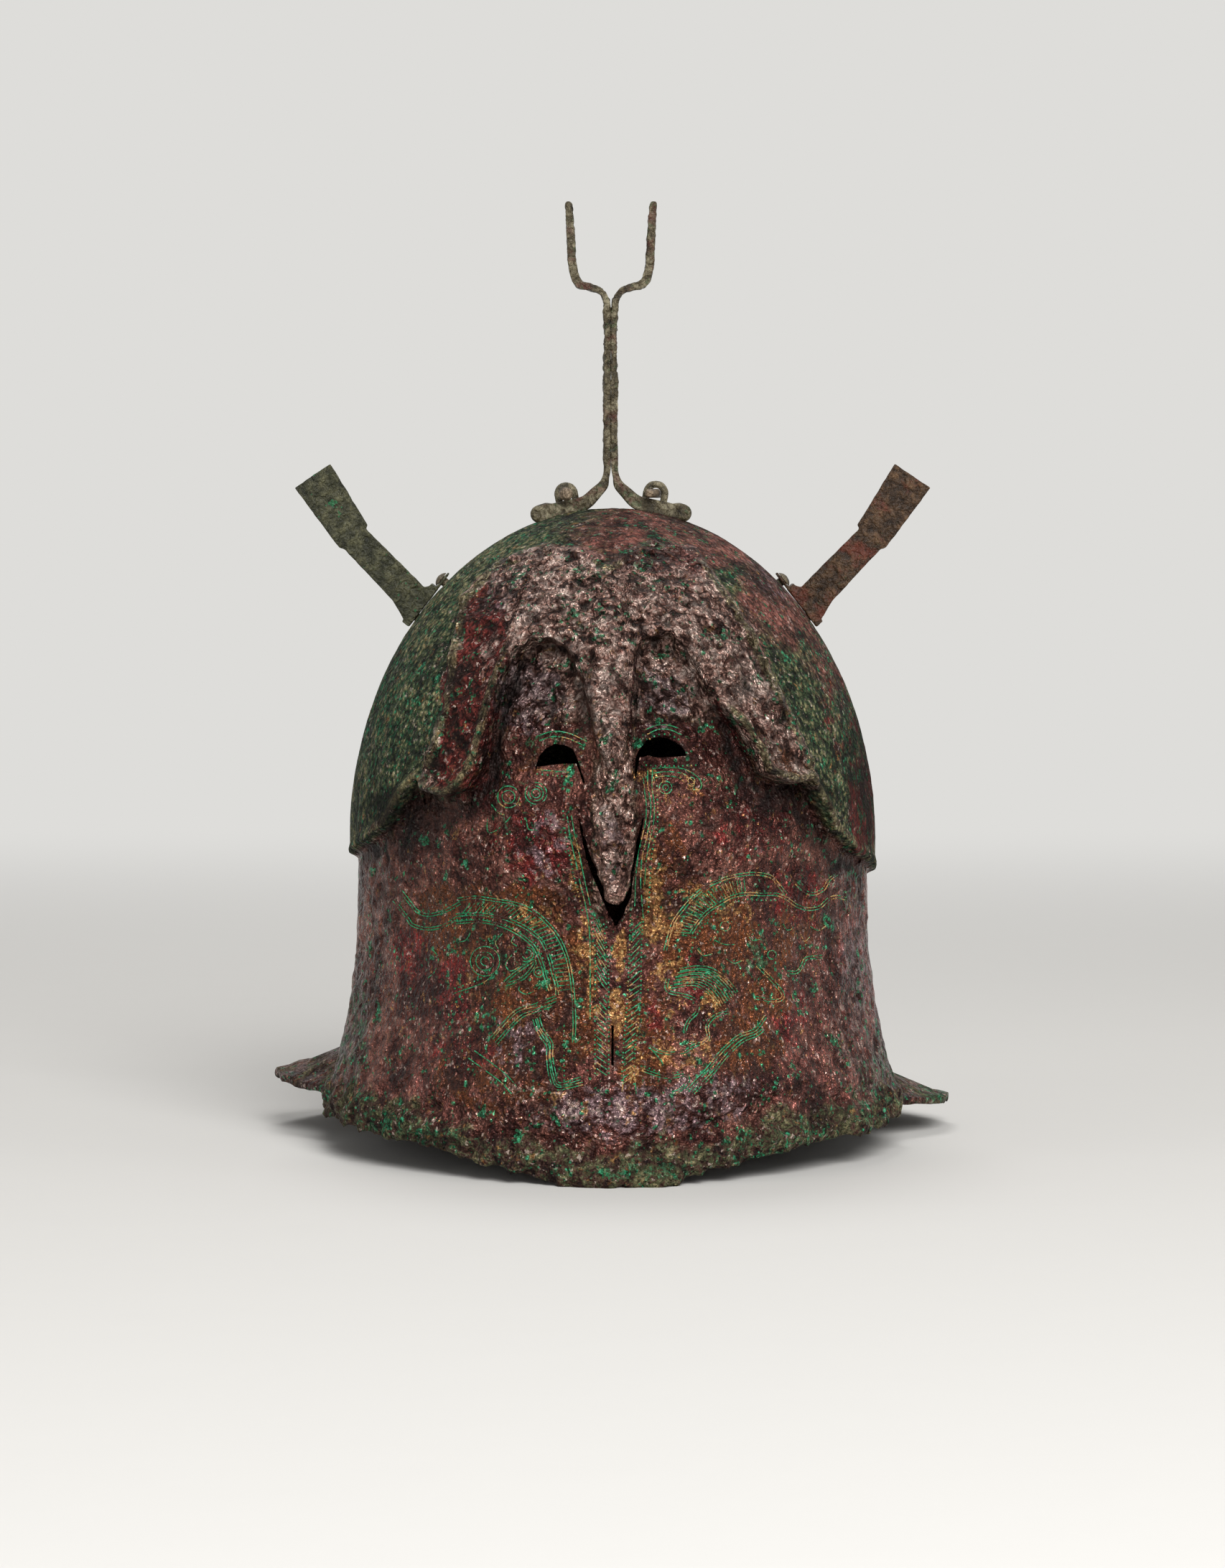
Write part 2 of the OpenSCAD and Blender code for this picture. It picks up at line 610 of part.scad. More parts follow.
// Height of the dome's outside in the frame of a foot, at a place along the slope and from front to back
function dome_drop(x, y) =
    let (lean = dome_lean(holder_x),
         at = [holder_x + x * cos(lean), y, holder_up - x * sin(lean)],
         half = [bowl_w / 2, bowl_l / 2, dome_h],
         out = [sin(lean) / half[0], 0, cos(lean) / half[2]],
         from = [at[0] / half[0], at[1] / half[1], at[2] / half[2]],
         b = from * out)
    (sqrt(b * b - (out * out) * (from * from - 1)) - b) / (out * out);

// Rivet with a domed head on the foot and a hammered one inside the bowl
module rivet(grip, drop) {
    cap = rivet_head_d * 0.28;
    r = (pow(rivet_head_d / 2, 2) + cap * cap) / (2 * cap);
    top = seat + grip + 0.05;
    bottom = drop - sheet_t - seat - under_gap;
    translate([0, 0, bottom])
        cylinder(d = rivet_d, h = top - bottom, $fn = 32);
    intersection() {
        translate([0, 0, top + cap - r])
            sphere(r = r, $fn = 48);
        translate([0, 0, top])
            cylinder(d = rivet_head_d + 1, h = cap + 1, $fn = 32);
    }
    translate([0, 0, bottom - 1])
        cylinder(d1 = rivet_head_d * 0.7, d2 = rivet_head_d * 0.9, h = 1, $fn = 32);
}

module side_rivets(side) {
    placed()
        on_side(side)
            for (r = rivets)
                translate([r[0], r[1], 0])
                    rivet(r[2], dome_drop(r[0], r[1]));
}

module side_rivets_left() color("olive") side_rivets(-1);
module side_rivets_right() color("olive") side_rivets(1);

helmet_shell();
crest_strip_left();
crest_strip_right();
crest_staple_left();
crest_staple_right();
crest_pin_left();
crest_pin_right();
side_holder_left();
side_holder_right();
side_rivets_left();
side_rivets_right();
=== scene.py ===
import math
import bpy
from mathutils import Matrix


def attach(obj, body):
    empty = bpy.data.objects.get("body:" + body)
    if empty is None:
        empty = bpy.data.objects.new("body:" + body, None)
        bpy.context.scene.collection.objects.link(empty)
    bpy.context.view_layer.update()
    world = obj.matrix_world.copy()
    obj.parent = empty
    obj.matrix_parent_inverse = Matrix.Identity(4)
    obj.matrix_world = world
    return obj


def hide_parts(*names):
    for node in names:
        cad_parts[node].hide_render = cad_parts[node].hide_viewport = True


bl_info = {
    "name": "Pseudo-Corinthian Helmet",
    "version": (1, 0, 0),
    "blender": (4, 5, 0),
    "location": "View3D > Sidebar > Helmet",
    "description": "Builds an excavated bronze helmet with its crest holder and side holders",
    "category": "Object",
}

import bmesh
import bpy
import numpy as np
from bpy.props import FloatProperty, FloatVectorProperty, PointerProperty
from mathutils import Vector, noise
from mathutils.bvhtree import BVHTree

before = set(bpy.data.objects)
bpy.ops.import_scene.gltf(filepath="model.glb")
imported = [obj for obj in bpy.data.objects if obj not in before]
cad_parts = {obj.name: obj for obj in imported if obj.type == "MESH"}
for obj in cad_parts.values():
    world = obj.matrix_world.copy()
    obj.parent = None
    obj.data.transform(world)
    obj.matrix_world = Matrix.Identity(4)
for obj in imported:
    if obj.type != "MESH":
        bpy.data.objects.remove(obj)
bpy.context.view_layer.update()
MM = 0.001
SIDES = ("left", "right")


def paint(red, green, blue):
    """A colour picked on a screen, as the linear colour that a material holds."""
    screen = (red, green, blue)
    return tuple(((c / 255 + 0.055) / 1.055) ** 2.4 if c > 10 else c / 3294.6 for c in screen) + (1.0,)


# Sizes and colours


def length(name, text, metres):
    return FloatProperty(name=name, description=text, default=metres, precision=4, unit="LENGTH",
                         subtype="DISTANCE")


def amount(name, text, usual):
    return FloatProperty(name=name, description=text, default=usual, min=0)


def colour(name, text, *screen):
    return FloatVectorProperty(name=name, description=text, default=paint(*screen), size=4, subtype="COLOR")


class HelmetForm(bpy.types.PropertyGroup):
    """Main sizes of the hammered sheet and of its corrosion"""

    bowl_width: length("Bowl Width", "Width of the bowl outside", 0.179)
    bowl_length: length("Bowl Length", "Length of the bowl outside, front to back", 0.226)
    ring_height: length("Ring Height", "Height at which the dome starts", 0.105)
    dome_height: length("Dome Height", "Height of the dome over that ring", 0.112)
    plan_shift: length("Plan Shift", "How far the bowl's middle lies before the origin", 0.01125)
    sheet: length("Sheet", "Thickness of the bronze", 0.0018)
    step: length("Step", "Height of the raised brow over the mask", 0.005)
    nose_height: length("Nose Height", "How far the nose guard stands out", 0.0065)
    pitting: length("Pitting", "Depth of the pits on the forehead", 0.0008)
    rim_crust: length("Rim Crust", "Thickness of the crust along the lower rim", 0.0012)
    line_width: length("Line Width", "Width of an engraved line", 0.00042)
    wear: length("Wear", "How far the fittings have rotted back", 0.00022)


class HelmetFinish(bpy.types.PropertyGroup):
    """Colours of the corroded bronze"""

    plum: colour("Plum", "Darkest metal of the mask", 50, 25, 23)
    maroon: colour("Maroon", "Main colour of the mask", 88, 52, 45)
    # Clay tops the mask's tone, which rises a little on the knob tops as a painted highlight.
    clay: colour("Clay", "Worn high spots of the mask", 136, 90, 78)
    crimson: colour("Crimson", "Red of the left lobe and of patches on the mask", 122, 44, 42)
    # Umber is also the bottom of the forehead's tone, which falls between the knobs as painted shade.
    umber: colour("Umber", "Hollows of the forehead", 66, 42, 36)
    stone: colour("Stone", "Main colour of the forehead", 150, 114, 102)
    # Glint is a painted highlight as well as worn metal: the top of the forehead's tone, of the pale patches
    # and of the painted glint specks.
    glint: colour("Glint", "Worn high spots of the forehead", 206, 184, 172)
    violet: colour("Violet", "Bluish sheen in the eye hollows and on the cheeks", 128, 108, 112)
    moss: colour("Moss", "Dark green of the bowl", 24, 33, 21)
    sage: colour("Sage", "Main green of the bowl", 66, 82, 54)
    malachite: colour("Malachite", "Bright green spots", 32, 120, 76)
    turquoise: colour("Turquoise", "Palest green spots", 70, 160, 122)
    rose: colour("Rose", "Pink metal on the right of the bowl", 150, 90, 82)
    rust: colour("Rust", "Orange brown round the ornament", 100, 56, 30)
    gold: colour("Gold", "Bare bronze by the middle strip", 172, 130, 80)
    sand: colour("Sand", "Tan crust of the rim", 142, 134, 98)
    # Soot also paints the shade under the lobes, along the border of the brow and in the clefts between the
    # knobs.
    soot: colour("Soot", "Black in the deepest pits", 12, 9, 8)
    khaki: colour("Khaki", "Main colour of the crest holder, also in the crust of the rim", 76, 68, 50)
    staple: colour("Staples", "Main colour of the staples", 104, 96, 76)
    pin: colour("Pins", "Main colour of the pins", 112, 96, 78)
    left_holder: colour("Left Holder", "Main colour of the left side holder", 56, 56, 40)
    right_holder: colour("Right Holder", "Main colour of the right side holder", 58, 42, 28)
    rivet: colour("Rivets", "Main colour of the rivets", 94, 84, 66)


class HelmetStage(bpy.types.PropertyGroup):
    """Floor, lamps and camera"""

    floor: colour("Floor", "Colour of the floor and backdrop", 214, 212, 208)
    key: amount("Key Lamp", "Power of the key lamp in watts", 86.0)
    fill: amount("Fill Lamps", "Power of each fill lamp in watts", 4.0)
    top: amount("Top Lamp", "Power of the lamp above in watts", 8.0)
    sky: amount("Sky", "Strength of the even light from all round", 0.22)
    lens: amount("Lens", "Focal length of the camera in millimetres", 127.8)
    distance: length("Camera Distance", "From the camera to the middle of the helmet", 1.9)
    height: length("Aim Height", "Height that the camera looks at", 0.123)
    rise: FloatProperty(name="Camera Rise", description="Angle of the camera above level",
                        default=math.radians(3), subtype="ANGLE")


# The sheet as formulas, in millimetres, azimuth in degrees from the front


def keys(*pairs):
    """Azimuths or heights and the values at them, for np.interp."""
    return np.array(pairs, float).T


BORDER_LEFT = keys((0, 27), (2.5, 35.6), (3.6, 43.6), (5.1, 52.7), (6.7, 59.5), (9.4, 66.3), (12.8, 69),
                   (16.9, 69), (20.3, 65.7), (22, 59), (22.9, 50), (23.4, 39), (24.4, 28.5), (26.7, 21.5),
                   (29.9, 18.3), (34.1, 18.9), (37.5, 20.5), (40.1, 23), (44.3, 17), (50.1, 7.7), (62, 1),
                   (83, -5.4), (110, -9), (180, -10))
BORDER_RIGHT = keys((0, 27), (2, 35), (3.2, 47), (4.3, 62), (5.4, 68.7), (9.3, 70.9), (12.5, 70.6),
                    (17.1, 60), (19.4, 49), (23.6, 42.4), (26.2, 33.8), (27.4, 26.3), (31.3, 23.8),
                    (35.2, 22.1), (39.2, 23.2), (40.9, 20.5), (44.7, 13.2), (48.1, 6), (61, -3), (75, -7),
                    (90, -12), (110, -11), (180, -10))
STEP = keys((0, -1), (6, -1), (10, 0), (20, 0.4), (24, 1.8), (42, 1.8), (52, 0), (80, -2), (110, -2.9),
            (180, -3.5))
SOFT = keys((0, 16), (2, 8), (4, 3.4), (9, 3.2), (17, 3.4), (22, 2.4), (25, 1.5), (90, 1.6), (110, 4),
            (180, 6))
REACH = keys((0, 12), (60, 10.5), (84, 9.5), (93, 9.5), (99, 15.5), (107, 32), (117, 42), (135, 42),
             (180, 36))
FLARE_TOP = keys((0, 92), (84, 92), (93, 84), (101, 50), (122, 50), (150, 62), (180, 66))
FLARE_FOOT = keys((0, 24), (70, 14), (86, 8), (98, 0), (180, 0))
FLARE_CURVE = keys((0, 1.8), (84, 2.2), (93, 2.4), (101, 4.4), (122, 4.4), (150, 3.2), (180, 2.8))
RIM = keys((0, 0), (3, 0), (7, 0.8), (10, 2.3), (16, 6), (21, 6.8), (33, 10.5), (60, 13), (88, 13.5),
           (97, 15.5), (113, 16.5), (135, 7.8), (150, 1.8), (180, 1.8))
LIP = keys((0, 1), (84, 1), (96, 0), (180, 0))
NOSE_HALF = keys((-14.5, 4.8), (8, 9.5), (25, 8), (45, 6.8))
NECK_SKEW = 4.5  # The left tip of the neck guard lies this much higher, the right one this much lower
NECK_TIP = 113  # Azimuth of the tips
FRONT_BORDER = 58  # Up to this azimuth the border is measured as it looks from the front
LID = 8  # Points of an eye outline that run along its upper lid
# The edge of the raised forehead, as seen from the front
FOREHEAD = [(-64, 95), (-61, 128.7), (-59.5, 137), (-54, 153.3), (-52, 171.8), (-49, 188), (-38, 199.8),
            (-22, 205.9), (-8, 204), (-1, 199.5), (6, 204), (14, 207), (27, 204), (33, 196), (44, 179),
            (51, 165), (58, 148.5), (65, 134.5), (68, 95)]
# Folds of the forehead: height, half width and the line that each follows
FOLDS = [(1.5, 2.6, [(0, 176), (-1.5, 186), (-4, 196), (-5, 206)]),
         (-0.8, 1.6, [(2, 178), (12, 181), (25, 187)]), (-0.8, 1.6, [(0, 178), (-8, 186), (-12, 196)]),
         (0.9, 2.2, [(-58, 136), (-53, 153), (-51, 171), (-47, 187)]),
         (0.8, 2, [(44, 178), (51, 164), (58, 148)]), (0.8, 3, [(0, 132), (0, 150), (0, 170)]),
         (-0.7, 1.4, [(6, 176), (10, 186), (8, 196)])]
EYE_LEFT = [(-24.9, 133.7), (-23.6, 137), (-21.4, 139.9), (-18.6, 141.3), (-15.6, 141.1), (-13, 139.4),
            (-11.2, 136.6), (-10.8, 135), (-9, 129), (-9.5, 128.9), (-11.7, 134.9), (-17.6, 134.7)]
EYE_RIGHT = [(8, 138.6), (8.8, 140.6), (11.4, 142.7), (14.6, 143.3), (18, 142.8), (21, 141.2), (23.2, 139),
             (24.2, 137.2), (16, 136.8), (8.6, 137), (7.6, 130.6), (7.2, 130.6), (7.6, 137)]
NOSE_GAP = [(-11.2, 117.4), (-10.2, 112), (-8.5, 104.6), (-6.6, 99.6), (-4.7, 95.2), (-2.3, 89.4), (0.6, 83),
            (1.6, 83), (3.6, 87), (5.8, 92.1), (7.2, 99.7), (8, 104.6), (9, 109.6), (10.1, 117.7),
            (9.5, 117.8), (7.8, 110), (6.8, 104.6), (6.2, 99.7), (5, 93.8), (3.6, 91.2), (1.4, 90.3),
            (-0.8, 90.9), (-2.2, 92.8), (-4, 98), (-6.3, 104), (-8.4, 110.4), (-10.6, 117.5)]
CHEEK_SLOT = [(-0.45, 38.8), (0.35, 38.6), (0.45, 45), (0.4, 51.1), (-0.35, 51.3), (-0.4, 45)]
CUT = (-0.2, -0.06)  # These openings are cut from here to here, front to back, in metres


def smooth(t):
    u = np.clip(t, 0, 1)
    return u * u * (3 - 2 * u)


def bell(t):
    return np.exp(-np.square(t))


def distance(points, line, closed=False):
    """Distance from each flat point to a drawn line."""
    line = np.array(line, float)
    ends = np.roll(line, -1, 0) if closed else line[1:]
    best = np.full(len(points), 1e9)
    for a, b in zip(line, ends):
        run = b - a
        t = np.clip((points - a) @ run / (run @ run + 1e-9), 0, 1)
        best = np.minimum(best, np.hypot(*(points - a - t[:, None] * run).T))
    return best


def inside(points, outline):
    """Which flat points lie within a closed outline."""
    x, z = points.T
    hit = np.zeros(len(points), bool)
    for (ax, az), (bx, bz) in zip(outline, outline[1:] + outline[:1]):
        if az != bz:
            hit ^= ((az > z) != (bz > z)) & (x < (bx - ax) * (z - az) / (bz - az) + ax)
    return hit


def grain(points, size, seed=0.0):
    """Smooth noise from -1 to 1, with bumps of one size in millimetres."""
    return np.array([noise.noise(p) for p in (points / size + seed).tolist()])


class Sheet:
    """The hammered sheet: wall, steps and swellings at any azimuth and height."""

    def __init__(self, form):
        self.form = form
        self.ring = form.ring_height / MM
        self.dome = form.dome_height / MM
        self.shift = -form.plan_shift / MM
        self.arc = (self.dome + form.bowl_width / MM / 2) / 2
        self.top = self.ring + self.arc * math.pi / 2
        front = np.arange(-60, 60.1, 0.5)
        self.border_line = self.seen(front, self.border(front))

    def plan(self, az):
        """Radius of the bowl's oval plan."""
        a = np.radians(az)
        across, along = self.form.bowl_width, self.form.bowl_length
        return 1 / np.hypot(np.sin(a) * 2 * MM / across, np.cos(a) * 2 * MM / along)

    def border(self, az):
        """Height at which the raised bowl ends over the mask."""
        away = np.abs(az)
        return self.ring + np.where(az < 0, np.interp(away, *BORDER_LEFT), np.interp(away, *BORDER_RIGHT))

    def rim(self, az):
        """Height of the lower edge."""
        skew = np.where(az < 0, NECK_SKEW, -NECK_SKEW) * bell((np.abs(az) - NECK_TIP) / 15)
        return np.interp(np.abs(az), *RIM) + skew

    def flare(self, az, z):
        """How far the cheeks and the neck guard spread towards their edge."""
        away = np.abs(az)
        top = np.interp(away, *FLARE_TOP)
        foot = self.rim(az) + np.interp(away, *FLARE_FOOT)
        u = np.clip((top - z) / (top - foot), 0, 1)
        return np.interp(away, *REACH) * u ** np.interp(away, *FLARE_CURVE)

    def wall(self, az, z):
        """Radius of the plain outside."""
        rise = np.clip((z - self.ring) / self.dome, 0, 1)
        return self.plan(az) * np.sqrt(1 - rise * rise) + self.flare(az, z)

    def height(self, path):
        """Height of the point that lies so far up the outside of the wall."""
        turn = np.clip((path - self.ring) / self.arc, 0, math.pi / 2)
        return np.where(path < self.ring, path, self.ring + self.dome * np.sin(turn))

    def path(self, z):
        """How far up the wall a height lies, the reverse of height."""
        turn = np.arcsin(np.clip((z - self.ring) / self.dome, 0, 1))
        return np.where(z < self.ring, z, self.ring + self.arc * turn)

    def seen(self, az, z):
        """The same points as they look from the front."""
        return np.stack([self.wall(az, z) * np.sin(np.radians(az)), z], -1)

    def over_border(self, az, z):
        """How far a point lies above the border of the raised bowl, negative below it."""
        rise = z - self.border(az)
        near = np.abs(az) < FRONT_BORDER
        far = np.where(near, 99.0, np.abs(rise))
        far[near] = distance(self.seen(az, z)[near], self.border_line)
        return far * np.sign(rise)

    def in_forehead(self, az, z):
        """How far a point lies within the raised forehead, negative outside it."""
        at = self.seen(az, z)
        front = np.abs(az) < 85
        gap = np.full(len(at), -50.0)
        edge = distance(at[front], FOREHEAD, closed=True)
        gap[front] = np.where(inside(at[front], FOREHEAD), edge, -edge)
        return gap

    def relief(self, az, z, over, within):
        """Steps, nose, sockets, lobes and bulges over the plain wall."""
        away = np.abs(az)
        up = z - self.ring
        x, _ = self.seen(az, z).T
        raised = smooth(over / np.interp(away, *SOFT) + 0.5)
        half = np.interp(up, *NOSE_HALF)
        from_ridge = np.abs(x - 0.4) / half
        section = 0.72 * np.exp(-from_ridge ** 3) + 0.4 * np.maximum(0, 1 - from_ridge) ** 1.3
        nose = section * smooth((up + 20.5) / 8) * (1 - smooth((up - 24) / 30))
        keel = 1.8 * bell(x / 7) * (1 - smooth((up + 38) / 20))
        down = np.maximum(0, self.border(az) - z)
        socket = -2.5 * bell((away - 13) / 7) * smooth(down / 5) * (1 - smooth(down / 30))
        above = np.maximum(0, z - self.border(az))
        lobe = 2.5 * bell((away - np.where(az < 0, 31, 33)) / 8) * bell(above / 24)
        bulge = 3 * bell((away - 19) / 11) * bell((up - 78) / 18)
        wing = 1.5 * smooth(within / 2.0 + 0.5) + 1.0 * bell((within - 1.8) / 1.4)
        rolled = bell((over - 1.9) / 1.3) * 1.9 * smooth((away - 20) / 5)
        rolled = rolled * (1 - 0.7 * smooth((away - 44) / 8))
        step = self.form.step / MM + np.interp(away, *STEP)
        front = (away < 30).astype(float)
        return (-step * (1 - raised) + self.form.nose_height / MM * nose * front + keel * front
                + socket * (1 - raised) + (lobe + wing + bulge + rolled) * raised)

    def folds(self, az, z):
        """Folds of the forehead and the raised edges of the eyes."""
        at = self.seen(az, z)
        total = np.zeros(len(at))
        front = np.abs(az) < 80
        for height, half, line in FOLDS:
            total[front] += height * bell(distance(at[front], line) / half)
        for eye in (EYE_LEFT[:LID], EYE_RIGHT[:LID]):
            total[front] += 0.45 * bell((distance(at[front], eye) - 1.2) / 0.8)
        return total

    def outside(self, az, z):
        """Radius of the outside, with everything but the corrosion."""
        over = self.over_border(az, z)
        within = self.in_forehead(az, z)
        lip = 2.2 * np.interp(np.abs(az), *LIP) * (1 - smooth((z - self.rim(az)) / 8 - 0.5))
        return self.wall(az, z) + self.relief(az, z, over, within) + self.folds(az, z) + lip

    def inner(self, az, z):
        """Radius and height of the inside that faces the wall at this height."""
        low = np.maximum(self.rim(az), z - 0.5)
        high = np.minimum(self.ring + self.dome - 0.01, z + 0.5)
        slope = (self.wall(az, high) - self.wall(az, low)) / (high - low)
        norm = np.hypot(1, slope)
        edge = np.max([self.border(az + turn) for turn in (-1.2, 0, 1.2)], 0) + 2.2
        raised = smooth((z - edge) / 5)
        over = np.where(raised > 0, 8 * raised, -8) - 4
        lift = self.relief(az, z, over, self.in_forehead(az, z) - 2)
        thick = self.form.sheet / MM
        return self.wall(az, z) + lift - thick / norm, z + thick * slope / norm

    def place(self, az, radius, z):
        a = np.radians(az)
        return np.stack([radius * np.sin(a), self.shift - radius * np.cos(a), z], -1)

    def azimuth(self, points):
        return np.degrees(np.arctan2(points[:, 0], self.shift - points[:, 1]))


# Meshes


def co_of(mesh):
    flat = np.empty(len(mesh.vertices) * 3, np.float32)
    mesh.vertices.foreach_get("co", flat)
    return flat.reshape(-1, 3).astype(float)


def normals_of(mesh):
    flat = np.empty(len(mesh.vertices) * 3, np.float32)
    mesh.vertex_normals.foreach_get("vector", flat)
    return flat.reshape(-1, 3).astype(float)


def set_co(mesh, points):
    mesh.vertices.foreach_set("co", points.astype(np.float32).ravel())
    mesh.update()


def shade_smooth(mesh, smooth_faces=True):
    mesh.polygons.foreach_set("use_smooth", [smooth_faces] * len(mesh.polygons))


def new_object(name, mesh, smooth_faces=True):
    thing = bpy.data.objects.new(name, mesh)
    bpy.context.scene.collection.objects.link(thing)
    shade_smooth(mesh, smooth_faces)
    return thing


def baked(thing):
    """Applies an object's modifiers to its mesh."""
    graph = bpy.context.evaluated_depsgraph_get()
    mesh = bpy.data.meshes.new_from_object(thing.evaluated_get(graph), depsgraph=graph)
    thing.modifiers.clear()
    old = thing.data
    thing.data = mesh
    bpy.data.meshes.remove(old)
    return thing


def mesh_from(bm, name):
    mesh = bpy.data.meshes.new(name)
    bm.to_mesh(mesh)
    bm.free()
    return mesh


def prisms(name, outlines, near, far):
    """Closed prisms through the front wall, one for each outline drawn from the front."""
    bm = bmesh.new()
    for outline in outlines:
        face = bm.faces.new([bm.verts.new((x * MM, near, z * MM)) for x, z in outline])
        made = bmesh.ops.extrude_face_region(bm, geom=[face])["geom"]
        moved = [v for v in made if isinstance(v, bmesh.types.BMVert)]
        bmesh.ops.translate(bm, verts=moved, vec=(0, far - near, 0))
    bmesh.ops.triangulate(bm, faces=bm.faces)
    bmesh.ops.recalc_face_normals(bm, faces=bm.faces)
    return new_object(name, mesh_from(bm, name))


# Columns of the sheet's grid: azimuth from and to, and the step between them
COLUMNS = [(0, 32, 0.47), (32, 78, 0.78), (78, 110, 1.0), (110, 180, 1.8)]
ROWS = (88, 13, 102, 18)  # Outside below the border of the bowl, along it and above it, and inside
BELOW, ABOVE = 2.2, 2.6  # How far the rows along the border reach below and above it, in millimetres
ROUND = 0.9  # How far the rounded lower edge stands out downwards, in millimetres
WELD = 0.02  # Points of the grid closer than this become one, in millimetres


def sheet_mesh(sheet):
    """A grid wrapped round the outside, under the rim and up the inside, closed at its seam and poles."""
    coarse = 1.0
    half = np.concatenate([np.linspace(a, b, round((b - a) / step / coarse), endpoint=False)
                           for a, b, step in COLUMNS] + [[180]])
    az = np.concatenate([-half[:0:-1], half])
    low, mid, high, deep = (round(n / coarse) for n in ROWS)
    edge = sheet.path(sheet.border(az))
    start = sheet.rim(az)
    rows = [start + (edge - BELOW - start) * t for t in np.linspace(0, 1, low, endpoint=False)]
    rows += [edge - BELOW + (BELOW + ABOVE) * t for t in np.linspace(0, 1, mid, endpoint=False)]
    rows += [edge + ABOVE + (sheet.top - edge - ABOVE) * t for t in np.linspace(0, 1, high)]
    outer = []
    for path in rows:
        z = sheet.height(path)
        outer.append(sheet.place(az, sheet.outside(az, z) * (path is not rows[-1]), z))
    inner = []
    for t in np.linspace(0, 1, deep):
        z = sheet.height(start + (sheet.top - start) * t)
        radius, level = sheet.inner(az, z)
        if t == 1:
            radius = radius * 0
            level = sheet.ring + sheet.dome - sheet.form.sheet / MM + z * 0
        inner.append(sheet.place(az, np.maximum(radius, 0), level))
    out, back = outer[0], inner[0]
    under = []
    for turn in np.linspace(0, math.pi, 6)[1:-1]:
        mix = (1 + math.cos(turn)) / 2
        drop = ROUND * math.sin(turn)
        ring = back * mix + out * (1 - mix)
        ring[:, 2] = np.maximum(0.02, ring[:, 2] - drop * np.minimum(1, sheet.rim(az)))
        under.append(ring)
    points = np.concatenate(inner[::-1] + under + outer)
    bm = bmesh.new()
    bmesh.ops.create_grid(bm, x_segments=len(az) - 1, y_segments=len(points) // len(az) - 1, size=1)
    mesh = mesh_from(bm, "helmet_sheet")
    set_co(mesh, points * MM)
    bm = bmesh.new()
    bm.from_mesh(mesh)
    bpy.data.meshes.remove(mesh)
    bmesh.ops.remove_doubles(bm, verts=bm.verts, dist=WELD * MM)
    bmesh.ops.recalc_face_normals(bm, faces=bm.faces)
    return mesh_from(bm, "helmet_sheet")
